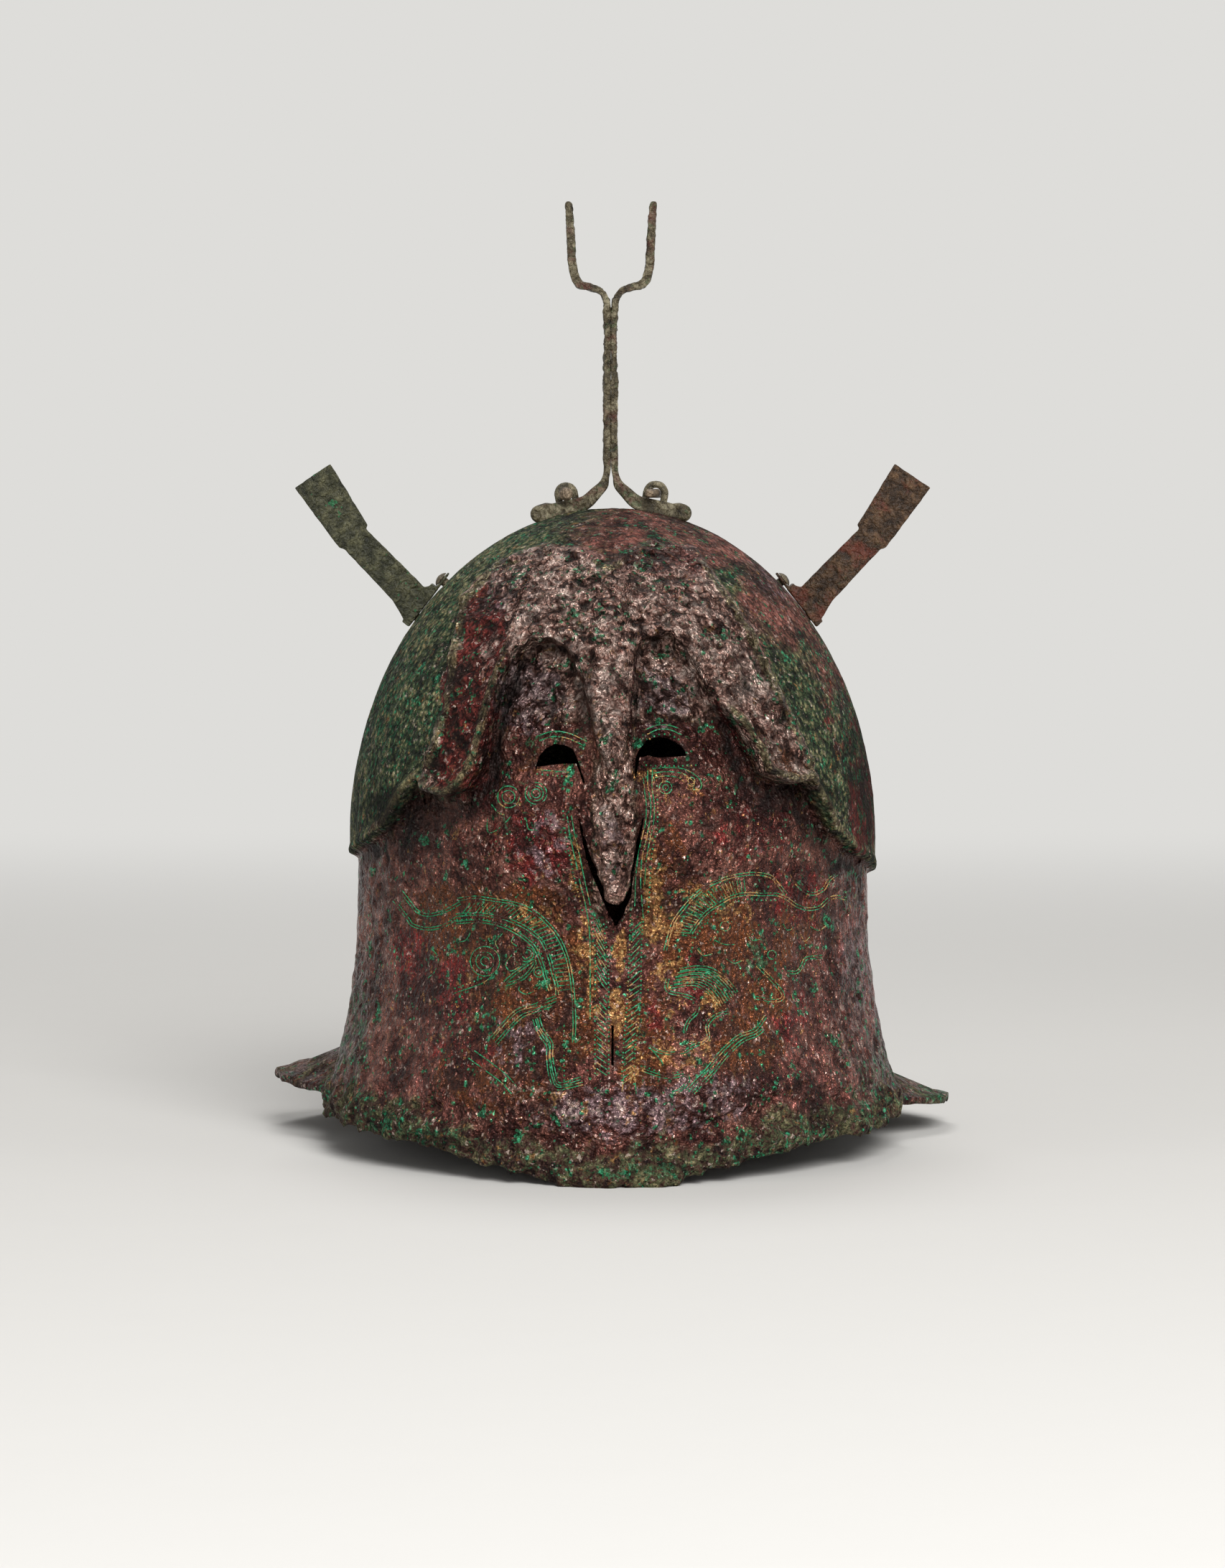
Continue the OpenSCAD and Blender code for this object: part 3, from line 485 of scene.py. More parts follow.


# Patches of colour, as seen from the front: x, z, half width, half height, strength. Violet paints a sheen,
# pale is a pale deposit with a painted sheen, and dark darkens what it covers
PATCHES = {
    "violet": [(4, 24, 36, 10, 0.7), (-27, 156, 14, 13, 0.9), (16, 156, 12, 12, 0.6), (-22, 108, 10, 14, 0.5),
        (60, 196, 16, 14, 0.5), (30, 28, 22, 10, 0.6), (-30, 44, 12, 10, 0.5), (84, 64, 10, 20, 0.5),
        (0, 108, 6, 14, 0.5), (-36, 190, 10, 10, 0.4)],
    "olive": [(-50, 198, 26, 14, 0.8), (-72, 182, 14, 14, 0.6), (-50, 132, 8, 6, 0.8), (60, 178, 10, 16, 0.5),
        (-34, 108, 16, 14, 0.6), (-40, 62, 16, 12, 0.5), (38, 66, 14, 14, 0.6), (-82, 18, 12, 8, 0.6),
        (82, 16, 12, 8, 0.6)],
    "rose": [(26, 208, 46, 15, 1), (-4, 208, 14, 7, 0.7), (60, 190, 22, 22, 1), (74, 171, 12, 16, 0.8),
        (84, 60, 14, 34, 0.8), (-60, 26, 24, 10, 0.6), (66, 30, 26, 14, 0.6), (-52, 50, 12, 16, 0.6),
        (70, 60, 14, 16, 0.4), (-20, 36, 20, 9, 0.5)],
    "crimson": [(-42, 176, 9, 20, 1), (-44, 160, 8, 12, 1), (-47, 153, 11, 24, 1), (-50, 134, 11, 12, 0.9),
        (-40, 124, 16, 10, 0.5), (-26, 108, 16, 16, 0.6), (-52, 62, 8, 14, 0.7), (46, 112, 20, 12, 0.5),
        (78, 150, 12, 26, 0.45), (-66, 70, 10, 12, 0.6), (84, 118, 8, 26, 0.6), (-14, 182, 16, 8, 0.3),
        (62, 90, 16, 14, 0.5), (58, 52, 10, 14, 0.5), (26, 66, 6, 12, 0.5), (-48, 40, 16, 8, 0.5),
        (40, 146, 22, 12, 0.4), (14, 50, 6, 12, 0.4)],
    "green": [(-78, 160, 16, 40, 0.62), (-60, 192, 14, 14, 0.5), (-45, 207, 26, 10, 0.5),
        (76, 176, 12, 22, 0.6), (82, 146, 8, 22, 0.5), (30, 82, 10, 12, 0.5), (47, 72, 5, 12, 0.8),
        (-34, 120, 12, 12, 0.5), (-88, 40, 10, 24, 0.7), (88, 24, 14, 14, 0.7), (-70, 14, 24, 9, 0.8),
        (56, 10, 26, 8, 0.75), (10, 5, 26, 4, 0.8), (84, 20, 8, 10, 0.8), (-40, 68, 18, 20, 0.4),
        (15, 206, 8, 3, 0.85), (10, 197, 5, 5, 0.6), (-56, 126, 12, 8, 0.55), (-5, 198, 6, 5, 0.45),
        (36, 128, 10, 5, 0.5), (-26, 142, 14, 4, 0.45), (16, 144, 10, 4, 0.5), (-58, 146, 5, 16, 0.45)],
    "gold": [(1.5, 56, 3, 10, 1), (2.5, 77, 2.5, 10, 1), (-6, 62, 2.5, 12, 0.7), (13, 85, 4.5, 9, 1),
        (13, 95, 4, 7, 1), (12, 104, 3, 9, 0.6), (20, 82, 5, 5, 0.5), (30, 93, 8, 5, 0.6),
        (40, 86, 8, 4, 0.5), (31, 58, 5, 5, 0.5), (10, 131, 6, 3, 0.5), (-12, 100, 3, 14, 0.5),
        (-9, 76, 4, 12, 0.6), (8, 40, 5, 14, 0.35), (24, 42, 12, 8, 0.42), (24, 124, 7, 4, 0.45),
        (-24, 86, 8, 5, 0.4), (18, 66, 6, 12, 0.42), (-16, 30, 6, 6, 0.4)],
    "rust": [(-50, 82, 22, 15, 1), (-28, 88, 18, 9, 0.8), (-30, 56, 22, 22, 0.75), (-12, 60, 9, 30, 0.8),
        (44, 44, 14, 12, 0.8), (30, 80, 22, 20, 0.85), (44, 60, 20, 24, 0.7), (18, 104, 8, 18, 0.6),
        (62, 78, 14, 18, 0.6), (-40, 32, 26, 12, 0.6), (10, 44, 12, 26, 0.7), (-26, 136, 16, 6, 0.4),
        (56, 134, 12, 8, 0.5)],
    "pale": [(6, 24, 20, 6, 0.3), (30, 30, 14, 6, 0.3), (0, 160, 5, 24, 0.8), (0, 112, 7, 12, 0.5),
        (16, 190, 16, 8, 0.45), (-20, 186, 16, 8, 0.45), (44, 166, 9, 18, 0.75), (52, 150, 8, 12, 0.5),
        (82, 46, 12, 22, 0.5), (-22, 26, 20, 7, 0.4), (-40, 168, 4, 14, 0.5), (-18, 150, 12, 7, 0.3)],
    "dark": [(88, 130, 14, 36, 0.75), (-64, 118, 22, 10, 1), (-46, 122, 16, 6, 0.8), (60, 122, 20, 8, 0.8),
        (-34, 150, 3.5, 16, 0.5), (-9, 154, 4, 16, 0.7), (-52, 98, 20, 7, 0.45), (68, 104, 16, 12, 0.4),
        (-18, 172, 9, 5, 0.6), (14, 172, 8, 4, 0.6), (-72, 92, 14, 18, 0.35), (32, 116, 5, 5, 0.6),
        (36, 132, 20, 4, 0.35), (-60, 12, 14, 4, 0.5), (20, 6, 16, 3, 0.4), (57, 149, 10, 12, 0.4),
        (70, 19, 20, 7, 0.5), (38, 121, 18, 10, 0.35), (-66, 40, 14, 12, 0.3), (72, 44, 12, 12, 0.3),
        (-44, 104, 14, 8, 0.3)],
}
# Where the ornament lies, in the same way
ENGRAVED = [(-42, 62, 34, 32, 1), (36, 62, 36, 34, 1), (0, 56, 14, 42, 1), (20, 124, 12, 14, 1),
            (-22, 128, 14, 9, 1)]
# What the sheet keeps for its material: the name of each attribute and the masks in its channels. The first
# mask of marks is painted shade with the dark of the pits, and sheen holds a painted violet sheen and the
# olive colour of the bowl
MASKS = {"zones": ("brow", "bowl", "crust"), "marks": ("hollow", "engraved", "inside"),
         "warm": ("rose", "gold", "rust"), "cool": ("green", "pale", "dark"),
         "deep": ("crimson", "rugged", "ridge"), "sheen": ("violet", "olive")}


def ovals(points, rows, solid=0.45, fade=0.8):
    """Soft ovals on the front view, the strongest at each point."""
    x, _, z = points.T
    total = np.zeros(len(points))
    for px, pz, wide, tall, strength in rows:
        away = np.hypot((x - px) / wide, (z - pz) / tall)
        total = np.maximum(total, strength * (1 - smooth((away - solid) / fade)))
    return total


def store(mesh, name, *masks):
    """Keeps up to three masks as one colour attribute of the vertices."""
    data = np.ones((len(masks[0]), 4), np.float32)
    for k, mask in enumerate(masks):
        data[:, k] = np.clip(mask, 0, 1)
    layer = mesh.attributes.new(name, "FLOAT_COLOR", "POINT")
    layer.data.foreach_set("color", data.ravel())


def cobbles(points, size):
    """Rounded knobs with clefts between them: 1 on a knob, below 0 in a cleft."""
    return np.array([1 - 1.9 * noise.voronoi(p)[0][0] for p in (points / size).tolist()])


def corrode_sheet(mesh, sheet):
    """Pits, crust and ragged edges, and the masks that the material reads."""
    # Where each kind of surface lies, from 0 to 1
    points = co_of(mesh) / MM
    out = normals_of(mesh)
    az = sheet.azimuth(points)
    away = np.abs(az)
    z = points[:, 2]
    radius = np.hypot(points[:, 0], points[:, 1] - sheet.shift)
    skin = smooth((radius - sheet.outside(az, z) + 1.1) / 0.7)
    over = sheet.over_border(az, z)
    within = sheet.in_forehead(az, z)
    bowl = smooth(over / 1.5 + 0.5)
    raised_brow = bowl * smooth(within / 2 + 0.5)
    at = sheet.seen(az, z)
    front = np.clip(-out[:, 1] * 1.6, 0, 1) * (away < 84)
    sockets = (1 - bowl) * smooth((z - 140) / 18) * (1 - smooth((np.abs(at[:, 0]) - 34) / 8)) * front
    nose = bell((points[:, 0] - 0.5) / 8) * smooth((z - 84) / 6) * (1 - smooth((z - 140) / 30))
    nose = nose * front * (1 - bowl)
    brow = np.maximum(raised_brow, sockets)
    face = (1 - bowl) * (1 - sockets)
    above_rim = z - sheet.rim(az)
    ragged = 5.0 * grain(points, 17, 3.3) + 2.0 * grain(points, 5, 8.1)
    crust = (1 - smooth((above_rim - 5 + 1.7 * ragged) / 9)) * smooth((92 - away) / 5)
    engraved = ovals(points, ENGRAVED, 0.8, 0.4)
    engraved *= face * (1 - crust) * front

    # Bumps and pits of several sizes, and how much of each a surface gets
    lumps = grain(points, 12, 1.7)
    knobs = grain(points, 5, 5.9)
    worms = 1 - 2.4 * np.abs(grain(points + 1.5 * knobs[:, None], 3.8, 9.4))
    cobble = cobbles(points + 1.1 * knobs[:, None], 4.2)
    beads = grain(points, 2.7, 4.9)
    pits = np.minimum(0, grain(points, 4.2, 2.2) + 0.12)
    fine = grain(points, 2.0, 7.7)
    depth = sheet.form.pitting / MM
    calm = 1 - 0.85 * engraved
    row = smooth((at[:, 0] - 26) / 10) * smooth((z - 135) / 14)
    rough = brow * (0.8 * lumps + 1.3 * cobble + 1.7 * pits + 0.8 * knobs + (0.4 + 0.7 * row) * beads) * depth
    sharp = 1 - 0.6 * smooth((away - 76) / 8)
    rough += bowl * (1 - raised_brow) * sharp * (0.4 * lumps + 0.3 * fine + 0.3 * knobs)
    rough += face * calm * sharp * (0.7 * lumps + 0.5 * cobble + 1.3 * pits + 0.6 * knobs + 0.2 * fine)
    rough += nose * (0.7 * cobble + 0.9 * knobs + 0.3 * beads)
    rough += face * engraved * (0.12 * lumps + 0.3 * np.minimum(0, pits + 0.12))
    thick = sheet.form.rim_crust / MM
    rough += crust * thick * (0.3 + 1.0 * knobs + 0.6 * worms + 0.6 * lumps + 0.4 * fine)
    tail = smooth((away - 90) / 8) * smooth((30 - above_rim) / 20)
    rough += tail * (0.3 * lumps + 0.1 * worms)
    rough *= 1 - 0.95 * bell((over - 0.8) / 3.6) * smooth((away - 18) / 5) * (away < 70)
    points += out * (rough * skin)[:, None]
    edge = (1 - smooth(above_rim / 7)) * (0.5 + 0.5 * tail)
    points[:, 2] += edge * (1.6 * grain(points, 12, 4.4) + 0.6 * grain(points, 3.2, 6.1)) * smooth(z / 4)
    points[:, 2] = np.maximum(points[:, 2], 0)
    set_co(mesh, points * MM)

    # What the material reads
    # Painted shadow: a dark band just under the lower edge of the raised bowl and the lobes, strongest under
    # the left lobe.
    painted_shadow_under_edges = bell((over + 3.5) / 3.4) * smooth((away - 18) / 6) * (away < 75)
    painted_shadow_under_edges = np.maximum(painted_shadow_under_edges, bell((over + 6) / 5) * bell((az + 46) / 12))
    ridge = bell((over - 1.9) / 1.3) * smooth((away - 20) / 4) * (away < 60) * (over > 0)
    ridge = np.maximum(ridge, bell((within - 1.8) / 1.3) * bowl * (z < 200))
    # Painted shade: a darker band just under the border over the eyes, below the step of the brow.
    hollow = bell((over + 1.6) / 2.0) * (away < 24) * (away > 4) * 0.7
    # Darkening in the pits and in the clefts between the cobbles of the forehead, nose and face: dark
    # corrosion with painted shade.
    deep = -pits * 1.8 * (brow + 0.7 * face * calm) - 0.45 * np.minimum(cobble, 0.2) * np.maximum(brow, nose)
    masks = {name: ovals(points, rows) for name, rows in PATCHES.items()}
    near = 0.4 + 0.6 * smooth((20 - points[:, 1]) / 40)
    for name in masks:
        masks[name] *= front * skin if name in ("gold", "rust", "pale") else near
    masks["green"] = np.maximum(masks["green"], 0.95 * smooth((points[:, 0] - 102) / 8) * (z < 45))
    masks["violet"] *= skin
    stone = np.maximum(brow, nose) * (1 - 0.9 * masks["crimson"] * (points[:, 0] < -30))
    # The first mask of marks adds together the dark of the pits, the painted shadow under the edges and the
    # painted shade along the border.
    masks.update(brow=stone * skin, bowl=bowl, crust=np.maximum(crust, 0.45 * tail), engraved=engraved,
                 hollow=deep + 0.8 * painted_shadow_under_edges + hollow, inside=1 - skin, rugged=np.maximum(brow, 0.8 * nose),
                 ridge=ridge * skin)
    for name, parts in MASKS.items():
        store(mesh, name, *(masks[part] for part in parts))


# Shader nodes


class Value:
    """A number or colour that changes over the surface. In a formula, a | b is the larger of the two."""

    def __init__(self, nodes, socket):
        self.nodes = nodes
        self.socket = socket

    def __add__(self, other):
        return self.nodes.math("ADD", self, other)

    def __sub__(self, other):
        return self.nodes.math("SUBTRACT", self, other)

    def __rsub__(self, other):
        return self.nodes.math("SUBTRACT", other, self)

    def __mul__(self, other):
        return self.nodes.math("MULTIPLY", self, other)

    def __or__(self, other):
        return self.nodes.math("MAXIMUM", self, other)


class Nodes:
    """Adds shader nodes to one material, world or shared effect."""

    def __init__(self, tree):
        self.tree = tree

    def link(self, socket, value):
        """Links a socket to another node, or sets it to a plain value."""
        value = getattr(value, "socket", value)
        if isinstance(value, bpy.types.NodeSocket):
            self.tree.links.new(value, socket)
        else:
            socket.default_value = value

    def add(self, kind, sockets=(), **settings):
        """Adds a node, sets its options and fills or links its sockets."""
        node = self.tree.nodes.new("ShaderNode" + kind)
        for name, value in settings.items():
            setattr(node, name, value)
        for socket, value in dict(sockets).items():
            self.link(node.inputs[socket], value)
        return node

    def value(self, kind, sockets=(), output=0, **settings):
        return Value(self, self.add(kind, sockets, **settings).outputs[output])

    def values(self, kind, sockets=(), **settings):
        return {socket.name: Value(self, socket) for socket in self.add(kind, sockets, **settings).outputs}

    def math(self, operation, *values):
        return self.value("Math", dict(enumerate(values)), operation=operation)

    def mix(self, factor, a, b):
        return self.value("Mix", {0: factor, 6: a, 7: b}, 2, data_type="RGBA")

    def ramp(self, factor, *stops):
        """Colours in a row, each after the value at which it stands."""
        node = self.add("ValToRGB", {0: factor})
        marks = node.color_ramp.elements
        while len(marks) < len(stops) / 2:
            marks.new(1.0)
        for mark, where, tint in zip(marks, stops[::2], stops[1::2]):
            mark.position = where
            mark.color = tuple(tint)
        return Value(self, node.outputs[0])

    def cloud(self, scale, detail=3.0, rough=0.55, bend=0.0):
        return self.value("TexNoise", {"Vector": self.where, "Scale": scale, "Detail": detail,
                                       "Roughness": rough, "Distortion": bend})

    def warped(self, scale, detail, reach):
        """The place of each point, moved about by noise."""
        warp = self.value("TexNoise", {"Vector": self.where, "Scale": scale, "Detail": detail}, "Color")
        moved = self.value("VectorMath", {0: warp, 1: (reach, reach, reach)}, operation="MULTIPLY")
        return self.value("VectorMath", {0: self.where, 1: moved}, operation="ADD")

    def cells(self, where, scale, **settings):
        return self.value("TexVoronoi", {"Vector": where, "Scale": scale}, "Distance", **settings)

    def step_up(self, value, low, high):
        return self.value("MapRange", {0: value, 1: low, 2: high}, interpolation_type="SMOOTHSTEP")

    def seen(self):
        """1 for what the camera, a mirror or glass sees, 0 for the light that falls on things."""
        path = self.values("LightPath")
        return path["Is Camera Ray"] | path["Is Glossy Ray"] | path["Is Transmission Ray"]

    def effect(self, name, **sockets):
        """Places a shared effect, which is built once, the first time."""
        group = bpy.data.node_groups.get(name) or shared_effect(name)
        return self.values("Group", {"Vector": self.where, **sockets}, node_tree=group)


class Surface(Nodes):
    """A new material: its nodes, its shader and the place on the piece that its patterns follow."""

    def __init__(self, name):
        self.material = bpy.data.materials.new(name)
        self.material.use_nodes = True
        super().__init__(self.material.node_tree)
        self.tree.nodes.clear()
        self.shader = self.add("BsdfPrincipled")
        self.end = self.add("OutputMaterial", {"Surface": self.shader.outputs[0]})
        self.where = self.value("TexCoord", output="Object")

    def finish(self, tint, rough, height, metal=0.0, depth=0.001, gloss=0.2):
        bump = self.value("Bump", {"Strength": 1.0, "Distance": depth, "Height": height})
        for socket, value in (("Base Color", tint), ("Roughness", rough), ("Metallic", metal),
                              ("Normal", bump), ("Specular IOR Level", gloss)):
            self.link(self.shader.inputs[socket], value)
        return self.material


def ragged_patch(nodes, mask, scale, swing, soft):
    """Breaks the soft edge of a mask up into ragged patches."""
    level = mask + (nodes.cloud(scale, 5.0, 0.65, 0.3) - 0.5) * swing
    return [nodes.step_up(level, 0.5 - soft, soft + 0.5)]


def speckle(nodes, scale, amount):
    """Crystals of corrosion: small rounded grains of which some are picked out."""
    height = 1.0 - nodes.cells(nodes.where, scale)
    low = 0.97 - amount
    pick = (height - 0.55) * 0.35 + nodes.cloud(scale * 0.31, 3.0, 0.6)
    return [nodes.step_up(pick, low, low + 0.07), height]


def knobs(nodes, scale):
    """Rounded knobs of two sizes and the clefts and pits between them, as corrosion leaves them."""
    where = nodes.warped(330.0, 1.0, 0.006)
    coarse = nodes.cells(where, scale)
    fine = nodes.cells(where, scale * 2.3)
    pick = nodes.cloud(scale * 0.5) - 0.5
    cleft = nodes.step_up(pick * 1.1 + coarse, 0.66, 0.76)
    hole = nodes.step_up(pick * -1.3 + fine, 0.7, 0.78)
    return [coarse * coarse * -1.9 + 1.0 + fine * fine * -0.45, cleft | hole]


def cracks(nodes, scale, width):
    """Fine dark cracks with wandering edges."""
    edge = nodes.cells(nodes.warped(240.0, 3.0, 0.012), scale, feature="DISTANCE_TO_EDGE")
    return [1.0 - nodes.step_up(edge, 0.0, width)]


# Each shared effect: what builds it, the numbers that go in with their usual values, and what comes out
EFFECTS = {
    "Ragged Patch": (ragged_patch, {"Mask": 0.5, "Scale": 150.0, "Break": 1.0, "Soft": 0.08}, ["Mask"]),
    "Speckle": (speckle, {"Scale": 600.0, "Amount": 0.4}, ["Mask", "Height"]),
    "Knobs": (knobs, {"Scale": 300.0}, ["Height", "Pit"]),
    "Cracks": (cracks, {"Scale": 60.0, "Width": 0.03}, ["Mask"]),
}


def shared_effect(name):
    """Builds the node group of a shared effect."""
    build, given, made = EFFECTS[name]
    tree = bpy.data.node_groups.new(name, "ShaderNodeTree")
    tree.interface.new_socket("Vector", in_out="INPUT", socket_type="NodeSocketVector")
    for label, usual in given.items():
        tree.interface.new_socket(label, in_out="INPUT", socket_type="NodeSocketFloat").default_value = usual
    for label in made:
        tree.interface.new_socket(label, in_out="OUTPUT", socket_type="NodeSocketFloat")
    start = tree.nodes.new("NodeGroupInput").outputs
    end = tree.nodes.new("NodeGroupOutput").inputs
    nodes = Nodes(tree)
    nodes.where = start["Vector"]
    for label, result in zip(made, build(nodes, *(Value(nodes, start[label]) for label in given))):
        nodes.link(end[label], result)
    return tree


def sheet_material(finish):
    """The mask, forehead, bowl and rim, each with its own patina."""
    make = Surface("excavated bronze sheet")
    cloud, ramp, mix, step_up = make.cloud, make.ramp, make.mix, make.step_up
    masks = {}
    for name, parts in MASKS.items():
        held = make.value("Attribute", output="Color", attribute_name=name, attribute_type="GEOMETRY")
        masks.update(zip(parts, make.values("SeparateColor", {0: held}).values()))
    rugged = masks["rugged"]
    wide = cloud(60.0, 4.0, 0.6, 0.4)
    middle = cloud(240.0, 6.0, 0.72, 0.5)
    small = cloud(700.0, 4.0, 0.7)
    bumps = make.effect("Knobs", Scale=270.0)
    grains = make.effect("Speckle", Scale=430.0, Amount=0.42)

    def patch(mask, scale, ragged, soft):
        return make.effect("Ragged Patch", Mask=mask, Scale=scale, Break=ragged, Soft=soft)["Mask"]

    tone = small * 0.3 + (wide * 0.35 + middle * 0.65) * 0.7
    # On the forehead, and a little on the mask, the tone rises on the knob tops and falls between them:
    # painted highlight and shade over a random tone.
    mask_tone = bumps["Height"] * 0.04 + (small * 0.18 + (wide * 0.5 + middle * 0.32) - 0.02)
    brow_tone = bumps["Height"] * 0.12 + (tone - 0.06)
    bowl_tone = masks["olive"] * 0.06 + (grains["Height"] * 0.2 + (tone * 1.15 - 0.21))
    crust_tone = small * 0.3 + (wide * 0.2 + middle * 0.5)
    mask_tint = ramp(mask_tone, 0.42, finish.plum, 0.5, finish.maroon, 0.6, finish.clay)
    brow_tint = ramp(brow_tone, 0.38, finish.umber, 0.47, finish.stone, 0.62, finish.glint)
    bowl_tint = ramp(bowl_tone, 0.4, finish.moss, 0.49, finish.sage, 0.57, finish.sand)
    brow = patch(masks["brow"], 160.0, 0.5, 0.15)
    bowl = patch(masks["bowl"], 200.0, 0.2, 0.3) | brow
    tint = mix(bowl, mask_tint, mix(brow, bowl_tint, brow_tint))
    # Patches from the lowest to the top: scale, raggedness, softness, share, and the colours over a tone
    cover = {}
    for name, scale, ragged, soft, share, over, *colours in (
            ("rose", 90.0, 1.9, 0.35, 0.9, mask_tone, 0.42, finish.plum, 0.48, finish.maroon, 0.58,
             finish.rose),
            ("rust", 170.0, 2.6, 0.12, 0.9, mask_tone, 0.42, finish.umber, 0.54, finish.rust),
            ("crimson", 190.0, 1.9, 0.12, 0.92, mask_tone, 0.43, finish.plum, 0.55, finish.crimson),
            # Violet paints a sheen over the mask; pale is a pale deposit with a painted sheen that runs to
            # the glint colour.
            ("violet", 240.0, 2.6, 0.16, 0.75, brow_tone, 0.42, finish.plum, 0.55, finish.violet),
            ("pale", 340.0, 3.2, 0.1, 0.6, mask_tone, 0.43, finish.clay, 0.57, finish.glint),
            ("ridge", 260.0, 0.9, 0.2, 0.85, tone, 0.44, finish.umber, 0.55, finish.sand),
            ("crust", 150.0, 2.6, 0.3, 0.85, crust_tone, 0.42, finish.soot, 0.46, finish.umber, 0.5,
             finish.khaki, 0.53, finish.sage, 0.59, finish.sand),
            ("gold", 300.0, 3.4, 0.14, 0.85, small, 0.42, finish.rust, 0.57, finish.gold)):
        cover[name] = patch(masks[name], scale, ragged, soft) * share
        tint = mix(cover[name], tint, ramp(over, *colours))
    green = patch(masks["green"] * 0.55 + masks["bowl"] * 0.06, 330.0, 3.0, 0.05)
    green = green * (grains["Mask"] * 0.6 + 0.4)
    green_tint = ramp(small, 0.44, finish.moss, 0.5, finish.malachite, 0.62, finish.turquoise)
    tint = mix(green, tint, green_tint)
    dots = make.effect("Speckle", Scale=520.0, Amount=0.37)["Mask"]
    tint = mix(dots * 0.85 * (1.0 - cover["gold"]), tint, green_tint)
    # Painted glints: pale specks of the glint colour on the knob tops, most on the forehead and nose.
    painted_glints = step_up(bumps["Height"] * 0.14 + cloud(620.0, 2.0, 0.6), 0.69, 0.74) * (rugged * 0.3 + 0.42)
    tint = mix(painted_glints, tint, finish.glint)
    tint = mix(masks["inside"] * 0.5, tint, finish.umber)
    stains = step_up(cloud(130.0, 5.0, 0.75, 1.2), 0.54, 0.6) * (rugged * -0.45 + 0.62)
    # Painted shade from the first mask of marks, which also holds the dark of the pits, joined with the dark
    # patches and random stains; all go to soot below.
    painted_shade_and_stains = masks["hollow"] * 0.92 | patch(masks["dark"], 140.0, 1.6, 0.3) * 0.75 | stains
    flecks = step_up(cloud(380.0, 4.0, 0.7, 0.8), 0.64, 0.67)
    specks = step_up(cloud(800.0, 2.0, 0.5), 0.63, 0.66)
    # Painted shadow in the clefts and holes between the knobs, and the black pits of flecks and specks, join
    # the shade above; all go to soot.
    dark = painted_shade_and_stains | bumps["Pit"] * (rugged * 0.4 + 0.25) | flecks * 0.8 | specks * 0.75
    tint = mix(dark, tint, finish.soot)
    cracked = make.effect("Cracks", Scale=50.0, Width=0.028)["Mask"] * (masks["bowl"] * 0.4 + 0.12)
    tint = mix(cracked, tint, finish.soot)

    green_bowl = masks["bowl"] - masks["brow"] | 0.0
    covered = green_bowl | cover["crust"]
    lively = rugged * 0.6 + 0.4
    height = bumps["Height"] * (rugged * 1.7 + 0.4) + bumps["Pit"] * lively * -0.9
    height = cloud(230.0, 1.5, 0.5, 0.4) * (lively * 6.0) + height
    height = cloud(640.0, 1.0, 0.5) * 2.1 + height * (1.0 - masks["engraved"] * 0.75)
    height = height + grains["Height"] * (green_bowl * 3.2 + 0.2)
    height = height + flecks * -0.8 + specks * -0.5 + green * 0.6 + cracked * -1.5
    rough = small * 0.2 + green * 0.25 + 0.15 + covered * 0.4 + dark * 0.3
    metal = (1.0 - covered) * 0.65 * (1.0 - (dark | green))
    return make.finish(tint, rough, height, metal, gloss=0.12)


def fitting_material(name, hollows, main, high_spots, spots, spot_amount=0.36, reds=0.3, rose=None):
    """Rough bronze of the crest holder, staples, pins, holders and rivets, with spots and red patches."""
    make = Surface(name)
    mid = make.cloud(260.0, 5.0, 0.65, 0.3)
    small = make.cloud(900.0, 4.0, 0.6)
    grains = make.effect("Speckle", Scale=700.0, Amount=spot_amount)
    bumps = make.effect("Knobs", Scale=520.0)
    tint = make.ramp(small * 0.25 + mid * 0.75, 0.36, paint(*hollows), 0.5, main, 0.66, paint(*high_spots))
    if rose:
        red = make.effect("Ragged Patch", Mask=reds, Scale=110.0, Break=2.0, Soft=0.15)["Mask"]
        tint = make.mix(red * 0.7, tint, rose)
    tint = make.mix(grains["Mask"] * 0.5, tint, spots)
    # Painted shadow in the clefts between the knobs.
    tint = make.mix(bumps["Pit"] * 0.2, tint, paint(24, 22, 18))
    height = bumps["Height"] * 0.3 + mid * 2.0 + bumps["Pit"] * -0.25 + grains["Height"] * 0.15
    return make.finish(tint, small * 0.3 + 0.25, height, depth=0.0007)


def engraving_material(finish):
    """Engraved lines filled with green, rubbed to gold in places and lost in others."""
    make = Surface("filled engraving")
    mid = make.cloud(150.0, 4.0, 0.65)
    small = make.cloud(1100.0, 3.0, 0.6)
    side = make.value("SeparateXYZ", {0: make.where}, "X")
    tint = finish.malachite
    for tone, low, high, over in (
            (side * 0.8 + mid, 0.54, 0.6, finish.gold), (small, 0.56, 0.62, finish.turquoise),
            (small, 0.44, 0.38, finish.moss), (mid, 0.43, 0.39, finish.umber)):
        tint = make.mix(make.step_up(tone, low, high), tint, over)
    return make.finish(tint, 0.7, small, depth=0.0003)


